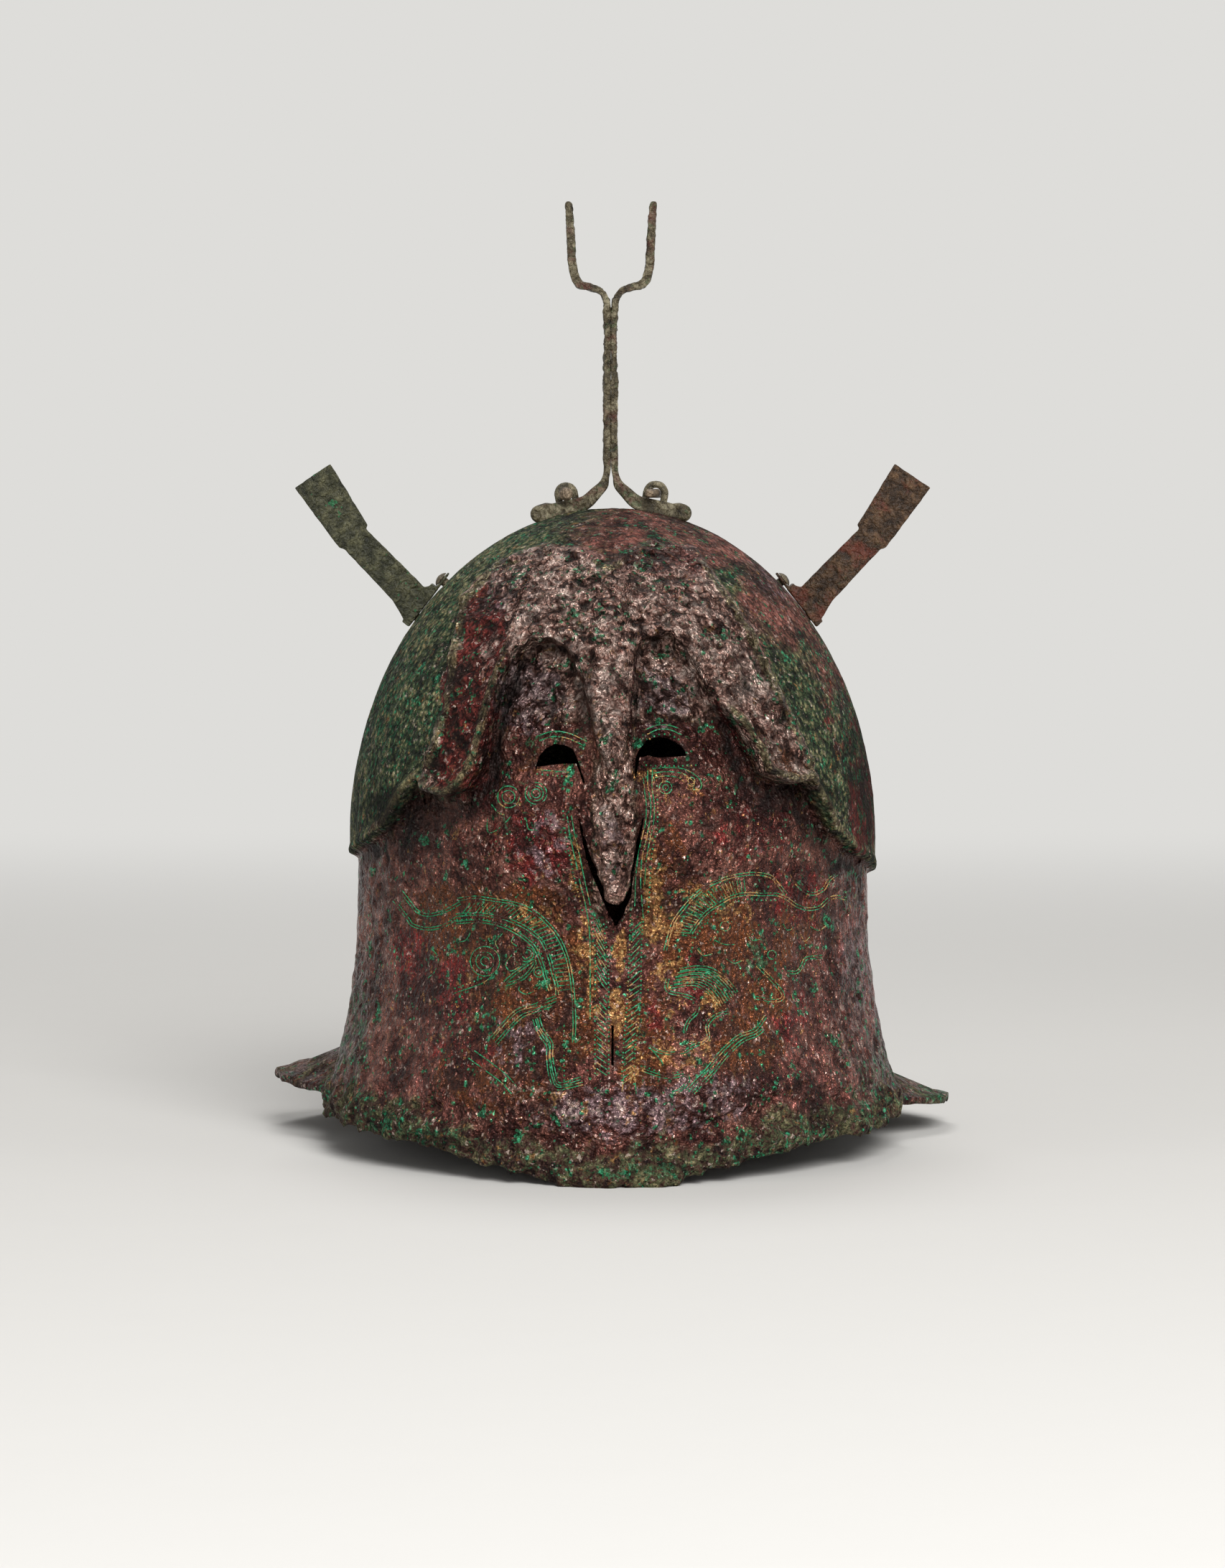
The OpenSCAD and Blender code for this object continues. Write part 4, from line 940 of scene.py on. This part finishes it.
def stage_material(tint):
    """Pale floor that runs into an even pale backdrop, as the camera and mirrors see it."""
    make = Surface("pale floor")
    speck = make.cloud(30.0, 3.0, 0.5)
    material = make.finish(make.mix(speck * 0.04, tint, paint(190, 188, 184)), 0.9, speck, depth=0.0002)
    back = make.step_up(make.value("SeparateXYZ", {0: make.where}, "Y"), 0.3, 1.8)
    glow = make.value("Emission", {"Color": paint(222, 221, 218), "Strength": 1.0})
    mixed = make.value("MixShader", {0: make.seen() * back, 1: make.shader.outputs[0], 2: glow})
    make.link(make.end.inputs["Surface"], mixed)
    return material


# Engraved ornament, drawn as the camera sees it


STROKE_STEP = 0.8  # From point to point along a stroke, in millimetres
BEAD_STEP = 1.55  # From dot to dot, in millimetres
TWIN_GAP = 0.9  # Between two strokes side by side, in millimetres
LINE_SINK = 0.00004  # How far an engraved line is sunk into the sheet, in metres
LONGEST_STEP = 0.003  # A stroke breaks where it would jump further than this, in metres
BEAD_SIZE = 0.85  # Radius of a dot over the width of a line


def drawn(numbers):
    """Points in millimetres from tenths of them, x and z in turn, on the plane of the helmet's axis."""
    return np.array(numbers, float).reshape(-1, 2) / 10


def flowing(points, step):
    """A smooth line through chosen points, with one point in each step."""
    p = np.array(points, float)
    if len(p) < 3:
        count = max(2, int(np.hypot(*(p[-1] - p[0])) / step) + 1)
        return p[0] + (p[-1] - p[0]) * np.linspace(0, 1, count)[:, None]
    p = np.concatenate([[2 * p[0] - p[1]], p, [2 * p[-1] - p[-2]]])
    made = []
    for a, b, c, d in zip(p, p[1:], p[2:], p[3:]):
        t = np.linspace(0, 1, max(1, round(np.hypot(*(c - b)) / step)), endpoint=False)[:, None]
        bend = (2 * a - 5 * b + 4 * c - d) * t ** 2
        made.append(0.5 * (2 * b + (c - a) * t + bend + (3 * b - a - 3 * c + d) * t ** 3))
    return np.concatenate(made + [p[-2:-1]])


def line(*numbers):
    """One stroke."""
    return "lines", [flowing(drawn(numbers), STROKE_STEP)]


def twin(*numbers):
    """Two strokes side by side."""
    main = flowing(drawn(numbers), STROKE_STEP)
    run = np.gradient(main, axis=0)
    aside = np.stack([-run[:, 1], run[:, 0]], -1) / np.maximum(np.hypot(*run.T), 1e-6)[:, None]
    return "lines", [main, main + TWIN_GAP * aside]


def beads(*numbers):
    """A row of punched dots."""
    return "beads", [flowing(drawn(numbers), BEAD_STEP)]


def rings(x, z, *radii):
    """Rings about one middle."""
    made = []
    for radius in radii:
        turn = np.linspace(0, 2 * math.pi, max(9, int(radius / 10 * 7)))
        made.append(drawn([x, z])[0] + radius / 10 * np.stack([np.cos(turn), np.sin(turn)], -1))
    return "lines", made


def fan(count, *sides):
    """Short strokes, a little slanted, across a band between two lines."""
    a, b = (flowing(drawn(side), 0.5) for side in sides)
    made = []
    for k in range(count):
        t = (k + 0.5) / count
        ends = a[int(t * (len(a) - 1))], b[int(min(1, t + 0.35 / count) * (len(b) - 1))]
        made.append(flowing(ends, STROKE_STEP))
    return "lines", made


ORNAMENT = {
    "middle bands": (
        beads(-76, 818, -60, 662, -60, 480, -60, 243),
        beads(-32, 767, -16, 624, -13, 468, -13, 243),
        fan(26, (-66, 813, -54, 662, -54, 480, -54, 243), (-37, 757, -22, 615, -20, 458, -20, 230)),
        beads(61, 779, 56, 618, 49, 480, 37, 331, 31, 218),
        beads(105, 774, 99, 681, 96, 517, 90, 429, 77, 324, 73, 206),
        fan(26, (100, 769, 94, 681, 91, 517, 85, 429, 73, 324, 69, 216), (66, 745, 61, 608, 54, 470, 42, 316,
            36, 203)),
        line(-140, 1122, -130, 1063, -110, 975, -96, 907, -76, 818),
        line(-154, 1122, -145, 1054, -125, 965, -110, 892, -91, 813, -78, 720, -76, 573, -76, 426),
        beads(-169, 1137, -159, 1049, -140, 956, -122, 877, -103, 799),
        line(120, 1277, 120, 1223, 130, 1164, 127, 1105, 115, 1044, 100, 973, 96, 887, 105, 774),
        line(105, 1250, 110, 1201, 115, 1157, 113, 1103, 100, 1044, 86, 975, 78, 887, 76, 813),
        line(135, 1277, 135, 1215, 142, 1161, 140, 1100, 127, 1039, 115, 970, 110, 882),
        beads(151, 1223, 154, 1134, 151, 1076, 142, 1036, 132, 973, 127, 877, 122, 794),
        line(37, 230, 32, 177),
        line(76, 230, 81, 172),
    ),
    "left boar": (
        twin(-528, 831, -471, 838, -415, 831, -326, 815, -261, 783, -208, 730, -174, 674, -152, 605, -140,
            522, -135, 426, -137, 348),
        twin(-534, 777, -471, 782, -415, 776, -360, 763, -304, 738, -261, 707, -241, 684, -218, 628, -208,
            583, -196, 544, -194, 510),
        beads(-529, 765, -468, 769, -414, 763, -365, 750, -314, 725, -272, 696, -255, 676, -233, 622, -221,
            578, -208, 534),
        twin(-534, 752, -470, 757, -414, 751, -370, 738, -321, 713, -284, 684, -267, 664, -245, 613, -233,
            568, -218, 524),
        fan(34, (-522, 782, -424, 784, -336, 765, -272, 725, -223, 667, -203, 598, -186, 515), (-492, 828,
            -399, 823, -311, 804, -233, 755, -181, 681, -157, 608, -145, 524)),
        twin(-534, 777, -578, 750, -630, 740, -679, 752, -696, 774, -742, 836),
        twin(-522, 828, -576, 799, -630, 787, -664, 799, -684, 823, -718, 867),
        rings(-435, 625, 50, 31, 15),
        line(-404, 583, -434, 556, -471, 539, -539, 516),
        beads(-419, 593, -448, 566, -485, 551, -537, 532),
        line(-343, 647, -365, 615, -348, 592, -320, 605),
        twin(-314, 635, -297, 622, -269, 640, -274, 667, -292, 674),
        twin(-365, 549, -326, 583, -269, 622, -306, 573, -365, 549),
        rings(-252, 588, 17, 7),
        line(-314, 544, -320, 527, -297, 513, -269, 522),
        line(-528, 662, -546, 657, -564, 647, -567, 630),
        twin(-194, 507, -230, 493, -274, 477, -326, 461, -370, 420, -415, 365),
        twin(-189, 490, -223, 473, -267, 458, -311, 441, -350, 404, -399, 348),
        twin(-257, 431, -247, 397, -230, 370, -213, 342, -213, 302, -202, 240, -182, 201, -106, 221),
        twin(-272, 426, -260, 390, -243, 360, -225, 333, -225, 294, -216, 230, -189, 186, -100, 203),
        beads(-165, 404, -165, 218),
        line(-471, 319, -415, 279, -360, 235, -326, 196),
        line(-492, 294, -434, 252, -380, 211, -345, 172),
        line(-375, 720, -399, 691, -390, 667),
        line(-485, 720, -502, 696, -522, 691),
        line(-620, 671, -595, 637, -605, 593, -630, 568),
        line(-326, 676, -345, 691, -336, 711),
    ),
    "right boar": (
        twin(184, 659, 196, 706, 213, 757, 247, 804, 277, 838, 318, 872, 375, 899, 421, 912, 485, 919, 537,
            910, 561, 885, 589, 850),
        twin(272, 717, 294, 752, 328, 791, 375, 821, 409, 840, 456, 850, 508, 848, 561, 848, 595, 833, 630,
            809, 670, 798, 710, 806, 740, 833, 768, 840, 796, 833),
        beads(282, 706, 306, 740, 338, 777, 382, 806, 416, 826, 461, 836, 507, 833, 556, 833),
        twin(624, 889, 652, 861, 687, 850, 723, 867, 740, 897, 768, 919),
        fan(26, (262, 711, 284, 757, 321, 801, 370, 831, 409, 850, 458, 860), (203, 706, 228, 760, 267, 813,
            321, 862, 385, 892, 453, 909)),
        beads(272, 723, 272, 671, 257, 613),
        twin(230, 591, 289, 600, 341, 591, 387, 556, 421, 515),
        twin(223, 576, 287, 586, 336, 576, 377, 542, 407, 502),
        twin(216, 561, 284, 571, 331, 559, 368, 527, 392, 490),
        twin(208, 546, 279, 556, 323, 542, 355, 512, 377, 478),
        twin(198, 532, 274, 542, 314, 524, 343, 497, 363, 466),
        twin(184, 566, 179, 532, 196, 515, 237, 506, 265, 497, 287, 480, 283, 451, 260, 429, 245, 399, 243,
            370),
        twin(121, 330, 156, 312, 202, 306, 247, 312, 277, 330, 318, 347, 332, 370, 328, 404, 353, 434, 392,
            446),
        twin(260, 179, 289, 213, 328, 255, 364, 301, 392, 330, 434, 365, 480, 382, 502, 399, 526, 434),
        twin(279, 172, 309, 203, 348, 243, 382, 287, 409, 316, 448, 350, 492, 368, 517, 387),
        line(121, 336, 167, 284, 170, 266),
        twin(103, 249, 179, 225, 243, 231, 255, 221, 230, 191, 202, 179),
        beads(110, 265, 174, 243, 238, 248),
        line(583, 752, 595, 731, 612, 735),
        line(642, 717, 656, 693, 673, 708),
        twin(595, 583, 630, 583, 652, 608, 664, 630, 715, 636),
        line(289, 664, 311, 644, 341, 650),
        line(345, 699, 381, 682, 416, 682),
        twin(490, 608, 537, 561, 578, 510, 554, 495, 485, 506),
        line(458, 720, 478, 696, 507, 701),
        line(674, 745, 703, 730, 728, 745),
        line(385, 635, 414, 618, 443, 627),
        rings(385, 745, 17),
        rings(544, 647, 15),
    ),
    "eye borders": (
        beads(127, 1384, 159, 1399, 196, 1397, 225, 1382),
        line(118, 1399, 157, 1416, 198, 1414, 235, 1397),
        line(110, 1414, 154, 1431, 201, 1428, 245, 1409),
        beads(115, 1294, 164, 1291, 225, 1291, 284, 1294),
        line(136, 1282, 184, 1286, 238, 1282, 272, 1267, 296, 1247, 304, 1225, 294, 1210, 272, 1213),
        line(140, 1267, 184, 1272, 233, 1267, 260, 1252, 279, 1235, 274, 1223, 257, 1228),
        line(145, 1252, 184, 1257, 223, 1252, 245, 1237),
        rings(269, 1241, 12),
        rings(181, 1218, 22, 10),
        line(-250, 1377, -201, 1392, -149, 1384, -96, 1360),
        line(-260, 1392, -203, 1409, -147, 1402, -88, 1375),
        rings(-261, 1198, 15, 25, 37),
        rings(-355, 1186, 22, 37),
        line(-412, 1159, -390, 1132, -369, 1125),
        line(-426, 1122, -426, 1068, -402, 1068, -365, 1098, -348, 1118),
        line(-294, 1108, -287, 1076, -257, 1072),
        line(-257, 1279, -203, 1274, -142, 1269),
        beads(-257, 1264, -203, 1259, -142, 1255),
    ),
}


def sight(stage):
    """Where the camera stands, what it looks at and which way is up in its picture."""
    form = bpy.context.scene.helmet_form
    aim = Vector((0, -form.plan_shift, stage.height))
    back = Vector((0, -math.cos(stage.rise), math.sin(stage.rise)))
    return aim + back * stage.distance, aim, Vector((0, math.sin(stage.rise), math.cos(stage.rise)))


class Lay:
    """Drops points of the drawing onto the finished sheet, along the camera's line of sight."""

    FRONT = -0.03  # A hit further back than this is not on the mask

    def __init__(self, sheet_object, stage):
        points = co_of(sheet_object.data)
        faces = [tuple(p.vertices) for p in sheet_object.data.polygons]
        self.tree = BVHTree.FromPolygons([Vector(p) for p in points.tolist()], faces)
        self.eye, self.aim, self.up = sight(stage)

    def on(self, x, z):
        """The point and normal of the sheet behind a point of the drawing."""
        target = self.aim + Vector((x * MM, 0, 0)) + self.up * (z * MM - self.aim.z)
        ray = (target - self.eye).normalized()
        hit, normal, _, _ = self.tree.ray_cast(self.eye, ray)
        return None if hit is None or hit.y > self.FRONT else (hit, normal)

    def runs(self, stroke):
        """The unbroken runs of a stroke, sunk a little into the sheet."""
        run, runs = [], []
        for at in [self.on(*p) for p in stroke.tolist()] + [None]:
            if at and (not run or (at[0] - run[-1]).length < LONGEST_STEP):
                run.append(at[0] - at[1] * LINE_SINK)
                continue
            if len(run) > 1:
                runs.append(run)
            run = [at[0]] if at else []
        return runs


def tubes(name, lines, width):
    """Thin closed tubes along laid lines, with the uneven width of a hand-cut stroke."""
    curve = bpy.data.curves.new(name, "CURVE")
    curve.dimensions = "3D"
    curve.bevel_depth = width / 2
    curve.bevel_resolution = 0
    curve.use_fill_caps = True
    for run in lines:
        spline = curve.splines.new("POLY")
        spline.points.add(len(run) - 1)
        for point, at in zip(spline.points, run):
            point.co = (*at, 1.0)
            point.radius = 1.0 + 0.45 * noise.noise(at * 300)
    holder = bpy.data.objects.new(name + "_curve", curve)
    bpy.context.scene.collection.objects.link(holder)
    graph = bpy.context.evaluated_depsgraph_get()
    mesh = bpy.data.meshes.new_from_object(holder.evaluated_get(graph), depsgraph=graph)
    bpy.data.objects.remove(holder)
    return new_object(name, mesh, False)


# Pieces


def need(condition, message):
    if not condition:
        raise RuntimeError(message)


def settle(thing, material, body, slot, *nodes):
    """Gives a piece its material, hangs it on the empty of the body it rides on and hides the imported parts
    that it stands for. The slot, its finish, is not used.
    """
    thing.data.materials.clear()
    thing.data.materials.append(material)
    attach(thing, body)
    if nodes:
        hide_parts(*nodes)


def weathered(kind, side, material, body, slot, voxel, wear, bias, coarse, rough_at=None, swell=None):
    """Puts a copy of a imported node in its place, remeshed evenly and eaten back by corrosion."""
    node, name = f"{kind}_{side}", f"{kind}_worn_{side}"
    bm = bmesh.new()
    bm.from_mesh(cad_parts[node].data)
    bmesh.ops.remove_doubles(bm, verts=bm.verts, dist=1e-6)
    thing = new_object(name, mesh_from(bm, name))
    remesh = thing.modifiers.new("even", "REMESH")
    remesh.mode = "VOXEL"
    remesh.voxel_size = voxel * 1 * MM
    baked(thing)
    points = co_of(thing.data) / MM
    out = normals_of(thing.data)
    rough = 0.6 * grain(points, coarse, 3.1) + 0.4 * grain(points, coarse / 2.2, 6.7)
    deep = np.minimum(0, grain(points, coarse * 0.8, 8.8) + 0.25)
    shift = wear / MM * (rough - bias + 1.6 * deep)
    if rough_at:
        shift = shift * rough_at(points)
    if swell:
        shift = shift + swell(points, out)
    set_co(thing.data, (points + out * shift[:, None]) * MM)
    shade_smooth(thing.data)
    settle(thing, material, body, slot, node)


class HelmetSheetOperator(bpy.types.Operator):
    """Raises the bronze sheet, pierces its mask and corrodes it"""

    bl_idname = "helmet.sheet"
    bl_label = "Bronze Sheet"

    def execute(self, context):
        sheet = Sheet(context.scene.helmet_form)
        shell = new_object("bronze_sheet", sheet_mesh(sheet))
        cutter = prisms("mask_cuts", [EYE_LEFT, EYE_RIGHT, NOSE_GAP, CHEEK_SLOT], *CUT)
        before = len(shell.data.vertices)
        cut = shell.modifiers.new("pierce", "BOOLEAN")
        cut.operation = "DIFFERENCE"
        cut.solver = "MANIFOLD"
        cut.object = cutter
        baked(shell)
        bpy.data.objects.remove(cutter)
        after = len(shell.data.vertices)
        need(after > before * 0.9 and after != before, "The mask was not pierced")
        corrode_sheet(shell.data, sheet)
        shade_smooth(shell.data)
        settle(shell, sheet_material(context.scene.helmet_finish), "helmet", "shell_bronze", "helmet_shell")
        return {"FINISHED"}


class HelmetOrnamentOperator(bpy.types.Operator):
    """Lays the engraved boars, bands and eye borders on the mask"""

    bl_idname = "helmet.ornament"
    bl_label = "Engraved Ornament"

    def execute(self, context):
        scene = context.scene
        lay = Lay(bpy.data.objects["bronze_sheet"], scene.helmet_stage)
        material = engraving_material(scene.helmet_finish)
        width = scene.helmet_form.line_width
        for title, entries in ORNAMENT.items():
            strokes, rows = ([s for kind, made in entries if kind == wanted for s in made]
                             for wanted in ("lines", "beads"))
            runs = [run for stroke in strokes for run in lay.runs(stroke)]
            need(runs, "No line of the ornament met the sheet")
            name = "engraving_" + title.replace(" ", "_")
            settle(tubes(name, runs, width), material, "helmet", "shell_bronze")
            bm = bmesh.new()
            for hit, _ in filter(None, (lay.on(*p) for row in rows for p in row.tolist())):
                made = bmesh.ops.create_icosphere(bm, subdivisions=1, radius=width * BEAD_SIZE)["verts"]
                bmesh.ops.translate(bm, verts=made, vec=hit)
            dots = new_object(name + "_beads", mesh_from(bm, name + "_beads"), False)
            settle(dots, material, "helmet", "shell_bronze")
        return {"FINISHED"}


class HelmetCrestOperator(bpy.types.Operator):
    """Weathers the two strips of the crest holder"""

    bl_idname = "helmet.crest"
    bl_label = "Crest Holder"

    @staticmethod
    def roughness(points):
        """How hard corrosion bites: most on the stem and the prongs, least on the feet and the seam."""
        z = points[:, 2]
        rough = 1 + 1.4 * bell((z - 266) / 20) + 0.5 * smooth((z - 300) / 10)
        seam = smooth((1.4 - np.abs(points[:, 0])) / 0.8) * (z < 284)
        return rough * smooth((z - 226) / 8) * (1 - 0.85 * seam)

    @staticmethod
    def swelling(points, out):
        """Crust under the feet and on the stem, away from the seam, in millimetres."""
        x, _, z = points.T
        aside = np.abs(x)
        foot = (1 - smooth((z - 224) / 4)) * np.maximum(smooth(-out[:, 2] / 0.4), smooth((aside - 20) / 3))
        stem = 0.6 * smooth((z - 228) / 6) * (1 - smooth((z - 282) / 8)) * smooth((aside - 1.2) / 1.2)
        return 0.95 * foot + stem

    def execute(self, context):
        form, finish = context.scene.helmet_form, context.scene.helmet_finish
        bronze = fitting_material("crest bronze", (34, 30, 22), finish.khaki, (140, 132, 108), finish.sage,
                                  0.38, 0.3, finish.maroon)
        for side in SIDES:
            weathered("crest_strip", side, bronze, "helmet", "crest_bronze", 0.42, form.wear * 1.8, 0.2, 2.6,
                      self.roughness, self.swelling)
        return {"FINISHED"}


class HelmetPinsOperator(bpy.types.Operator):
    """Weathers the staples and the pins that lock the crest holder"""

    bl_idname = "helmet.pins"
    bl_label = "Staples and Pins"

    def execute(self, context):
        wear, finish = context.scene.helmet_form.wear * 0.5, context.scene.helmet_finish
        loop = fitting_material("staple bronze", (46, 42, 34), finish.staple, (146, 136, 112), finish.sage)
        peg = fitting_material("pin bronze", (50, 42, 34), finish.pin, (152, 134, 112), finish.malachite, 0.3)
        for side in SIDES:
            weathered("crest_staple", side, loop, "helmet", "staple_bronze", 0.24, wear, -1.2, 1.8)
            weathered("crest_pin", side, peg, side + "_pin", "pin_bronze", 0.24, wear, 1.0, 1.8)
        return {"FINISHED"}


class HelmetHoldersOperator(bpy.types.Operator):
    """Weathers the two side holders and their rivets"""

    bl_idname = "helmet.holders"
    bl_label = "Side Holders"

    def execute(self, context):
        wear, finish = context.scene.helmet_form.wear, context.scene.helmet_finish
        skins = (
            fitting_material("left holder bronze", (28, 30, 20), finish.left_holder, (92, 90, 66),
                             finish.malachite, 0.31),
            fitting_material("right holder bronze", (28, 20, 14), finish.right_holder, (96, 72, 50),
                             finish.sage, 0.26, 0.4, paint(96, 46, 34)),
        )
        rivet = fitting_material("rivet bronze", (42, 36, 28), finish.rivet, (130, 118, 96),
                                 finish.malachite, 0.32)
        for side, skin in zip(SIDES, skins):
            weathered("side_holder", side, skin, "helmet", "holder_bronze_" + side, 0.42, wear, 0.35, 3.4)
            weathered("side_rivets", side, rivet, "helmet", "rivet_bronze", 0.26, wear * 0.6, 0.5, 1.8)
        return {"FINISHED"}


# Lamps: name, place, width and the property that holds its power
LAMPS = (("key_lamp", (0.55, -2.35, 1.55), 1.5, "key"), ("fill_lamp_left", (-1.6, -1.0, 0.6), 1.0, "fill"),
         ("fill_lamp_right", (1.7, -0.8, 0.5), 1.0, "fill"), ("top_lamp", (-0.1, 0.7, 1.6), 0.8, "top"))
LAMP_AIM = (0, 0, 0.14)
FLOOR = (6, 2.2, 1.2, 6)  # Half width, depth behind the helmet, radius of the bend, height of the backdrop
BACKDROP = 0.85  # Brightness of the world as the camera, mirrors and glass see it


def stand(name, data, place, aim):
    """Puts a lamp or the camera in its place, turned to what it looks at."""
    holder = bpy.data.objects.new(name, data)
    bpy.context.scene.collection.objects.link(holder)
    holder.location = place
    holder.rotation_euler = (Vector(aim) - Vector(place)).to_track_quat("-Z", "Y").to_euler()
    return holder


def floor_sweep():
    """A floor that turns up into a backdrop, from one profile drawn out sideways."""
    half, depth, bend, wall = FLOOR
    bm = bmesh.new()
    profile = [(-half, 0), (depth, 0)]
    for turn in np.radians(range(15, 91, 15)):
        profile.append((depth + bend * math.sin(turn), bend - bend * math.cos(turn)))
    verts = [bm.verts.new((-half, y, z)) for y, z in profile + [(depth + bend, wall)]]
    edges = [bm.edges.new(pair) for pair in zip(verts, verts[1:])]
    made = bmesh.ops.extrude_edge_only(bm, edges=edges)["geom"]
    moved = [v for v in made if isinstance(v, bmesh.types.BMVert)]
    bmesh.ops.translate(bm, verts=moved, vec=(2 * half, 0, 0))
    bmesh.ops.recalc_face_normals(bm, faces=bm.faces)
    return new_object("floor_sweep", mesh_from(bm, "floor_sweep"))


class HelmetStageOperator(bpy.types.Operator):
    """Sets the pale floor, the lamps and the camera"""

    bl_idname = "helmet.stage"
    bl_label = "Stage"

    def execute(self, context):
        scene = context.scene
        stage = scene.helmet_stage
        sweep = floor_sweep()
        sweep.data.materials.append(stage_material(stage.floor))
        for name, place, size, power in LAMPS:
            light = bpy.data.lights.new(name, "AREA")
            light.shape = "DISK"
            light.size = size
            light.energy = getattr(stage, power)
            stand(name, light, place, LAMP_AIM)
        world = bpy.data.worlds.new("soft room")
        world.use_nodes = True
        nodes = Nodes(world.node_tree)
        nodes.tree.nodes.clear()
        strength = nodes.seen() * (BACKDROP - stage.sky) + stage.sky
        glow = nodes.value("Background", {"Color": (1, 1, 1, 1), "Strength": strength})
        nodes.add("OutputWorld", {"Surface": glow})
        scene.world = world
        camera = bpy.data.cameras.new("photo_camera")
        camera.lens = stage.lens
        camera.sensor_width = 36
        eye, target, _ = sight(stage)
        scene.camera = stand("photo_camera", camera, eye, target)
        scene.view_settings.view_transform = "Standard"
        return {"FINISHED"}


class HelmetPanel(bpy.types.Panel):
    """Lists the sizes, the colours and the steps that build the helmet"""

    bl_idname = "HELMET_PT_build"
    bl_label = "Pseudo-Corinthian Helmet"
    bl_space_type = "VIEW_3D"
    bl_region_type = "UI"
    bl_category = "Helmet"

    def draw(self, context):
        for step in STEPS:
            self.layout.operator(step.bl_idname)
        for title, group in (("Form", context.scene.helmet_form), ("Finish", context.scene.helmet_finish),
                             ("Stage", context.scene.helmet_stage)):
            box = self.layout.box()
            box.label(text=title)
            for name in group.bl_rna.properties.keys():
                if name not in ("rna_type", "name"):
                    box.prop(group, name)


STEPS = (HelmetSheetOperator, HelmetOrnamentOperator, HelmetCrestOperator, HelmetPinsOperator,
         HelmetHoldersOperator, HelmetStageOperator)
CLASSES = (HelmetForm, HelmetFinish, HelmetStage) + STEPS + (HelmetPanel,)


def register():
    for kind in CLASSES:
        bpy.utils.register_class(kind)
    bpy.types.Scene.helmet_form = PointerProperty(type=HelmetForm)
    bpy.types.Scene.helmet_finish = PointerProperty(type=HelmetFinish)
    bpy.types.Scene.helmet_stage = PointerProperty(type=HelmetStage)


def unregister():
    for name in ("helmet_stage", "helmet_finish", "helmet_form"):
        delattr(bpy.types.Scene, name)
    for kind in reversed(CLASSES):
        bpy.utils.unregister_class(kind)


def main():
    register()
    bpy.ops.helmet.sheet()
    bpy.ops.helmet.ornament()
    bpy.ops.helmet.crest()
    bpy.ops.helmet.pins()
    bpy.ops.helmet.holders()
    bpy.ops.helmet.stage()
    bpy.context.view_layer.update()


if __name__ == "__main__":
    main()
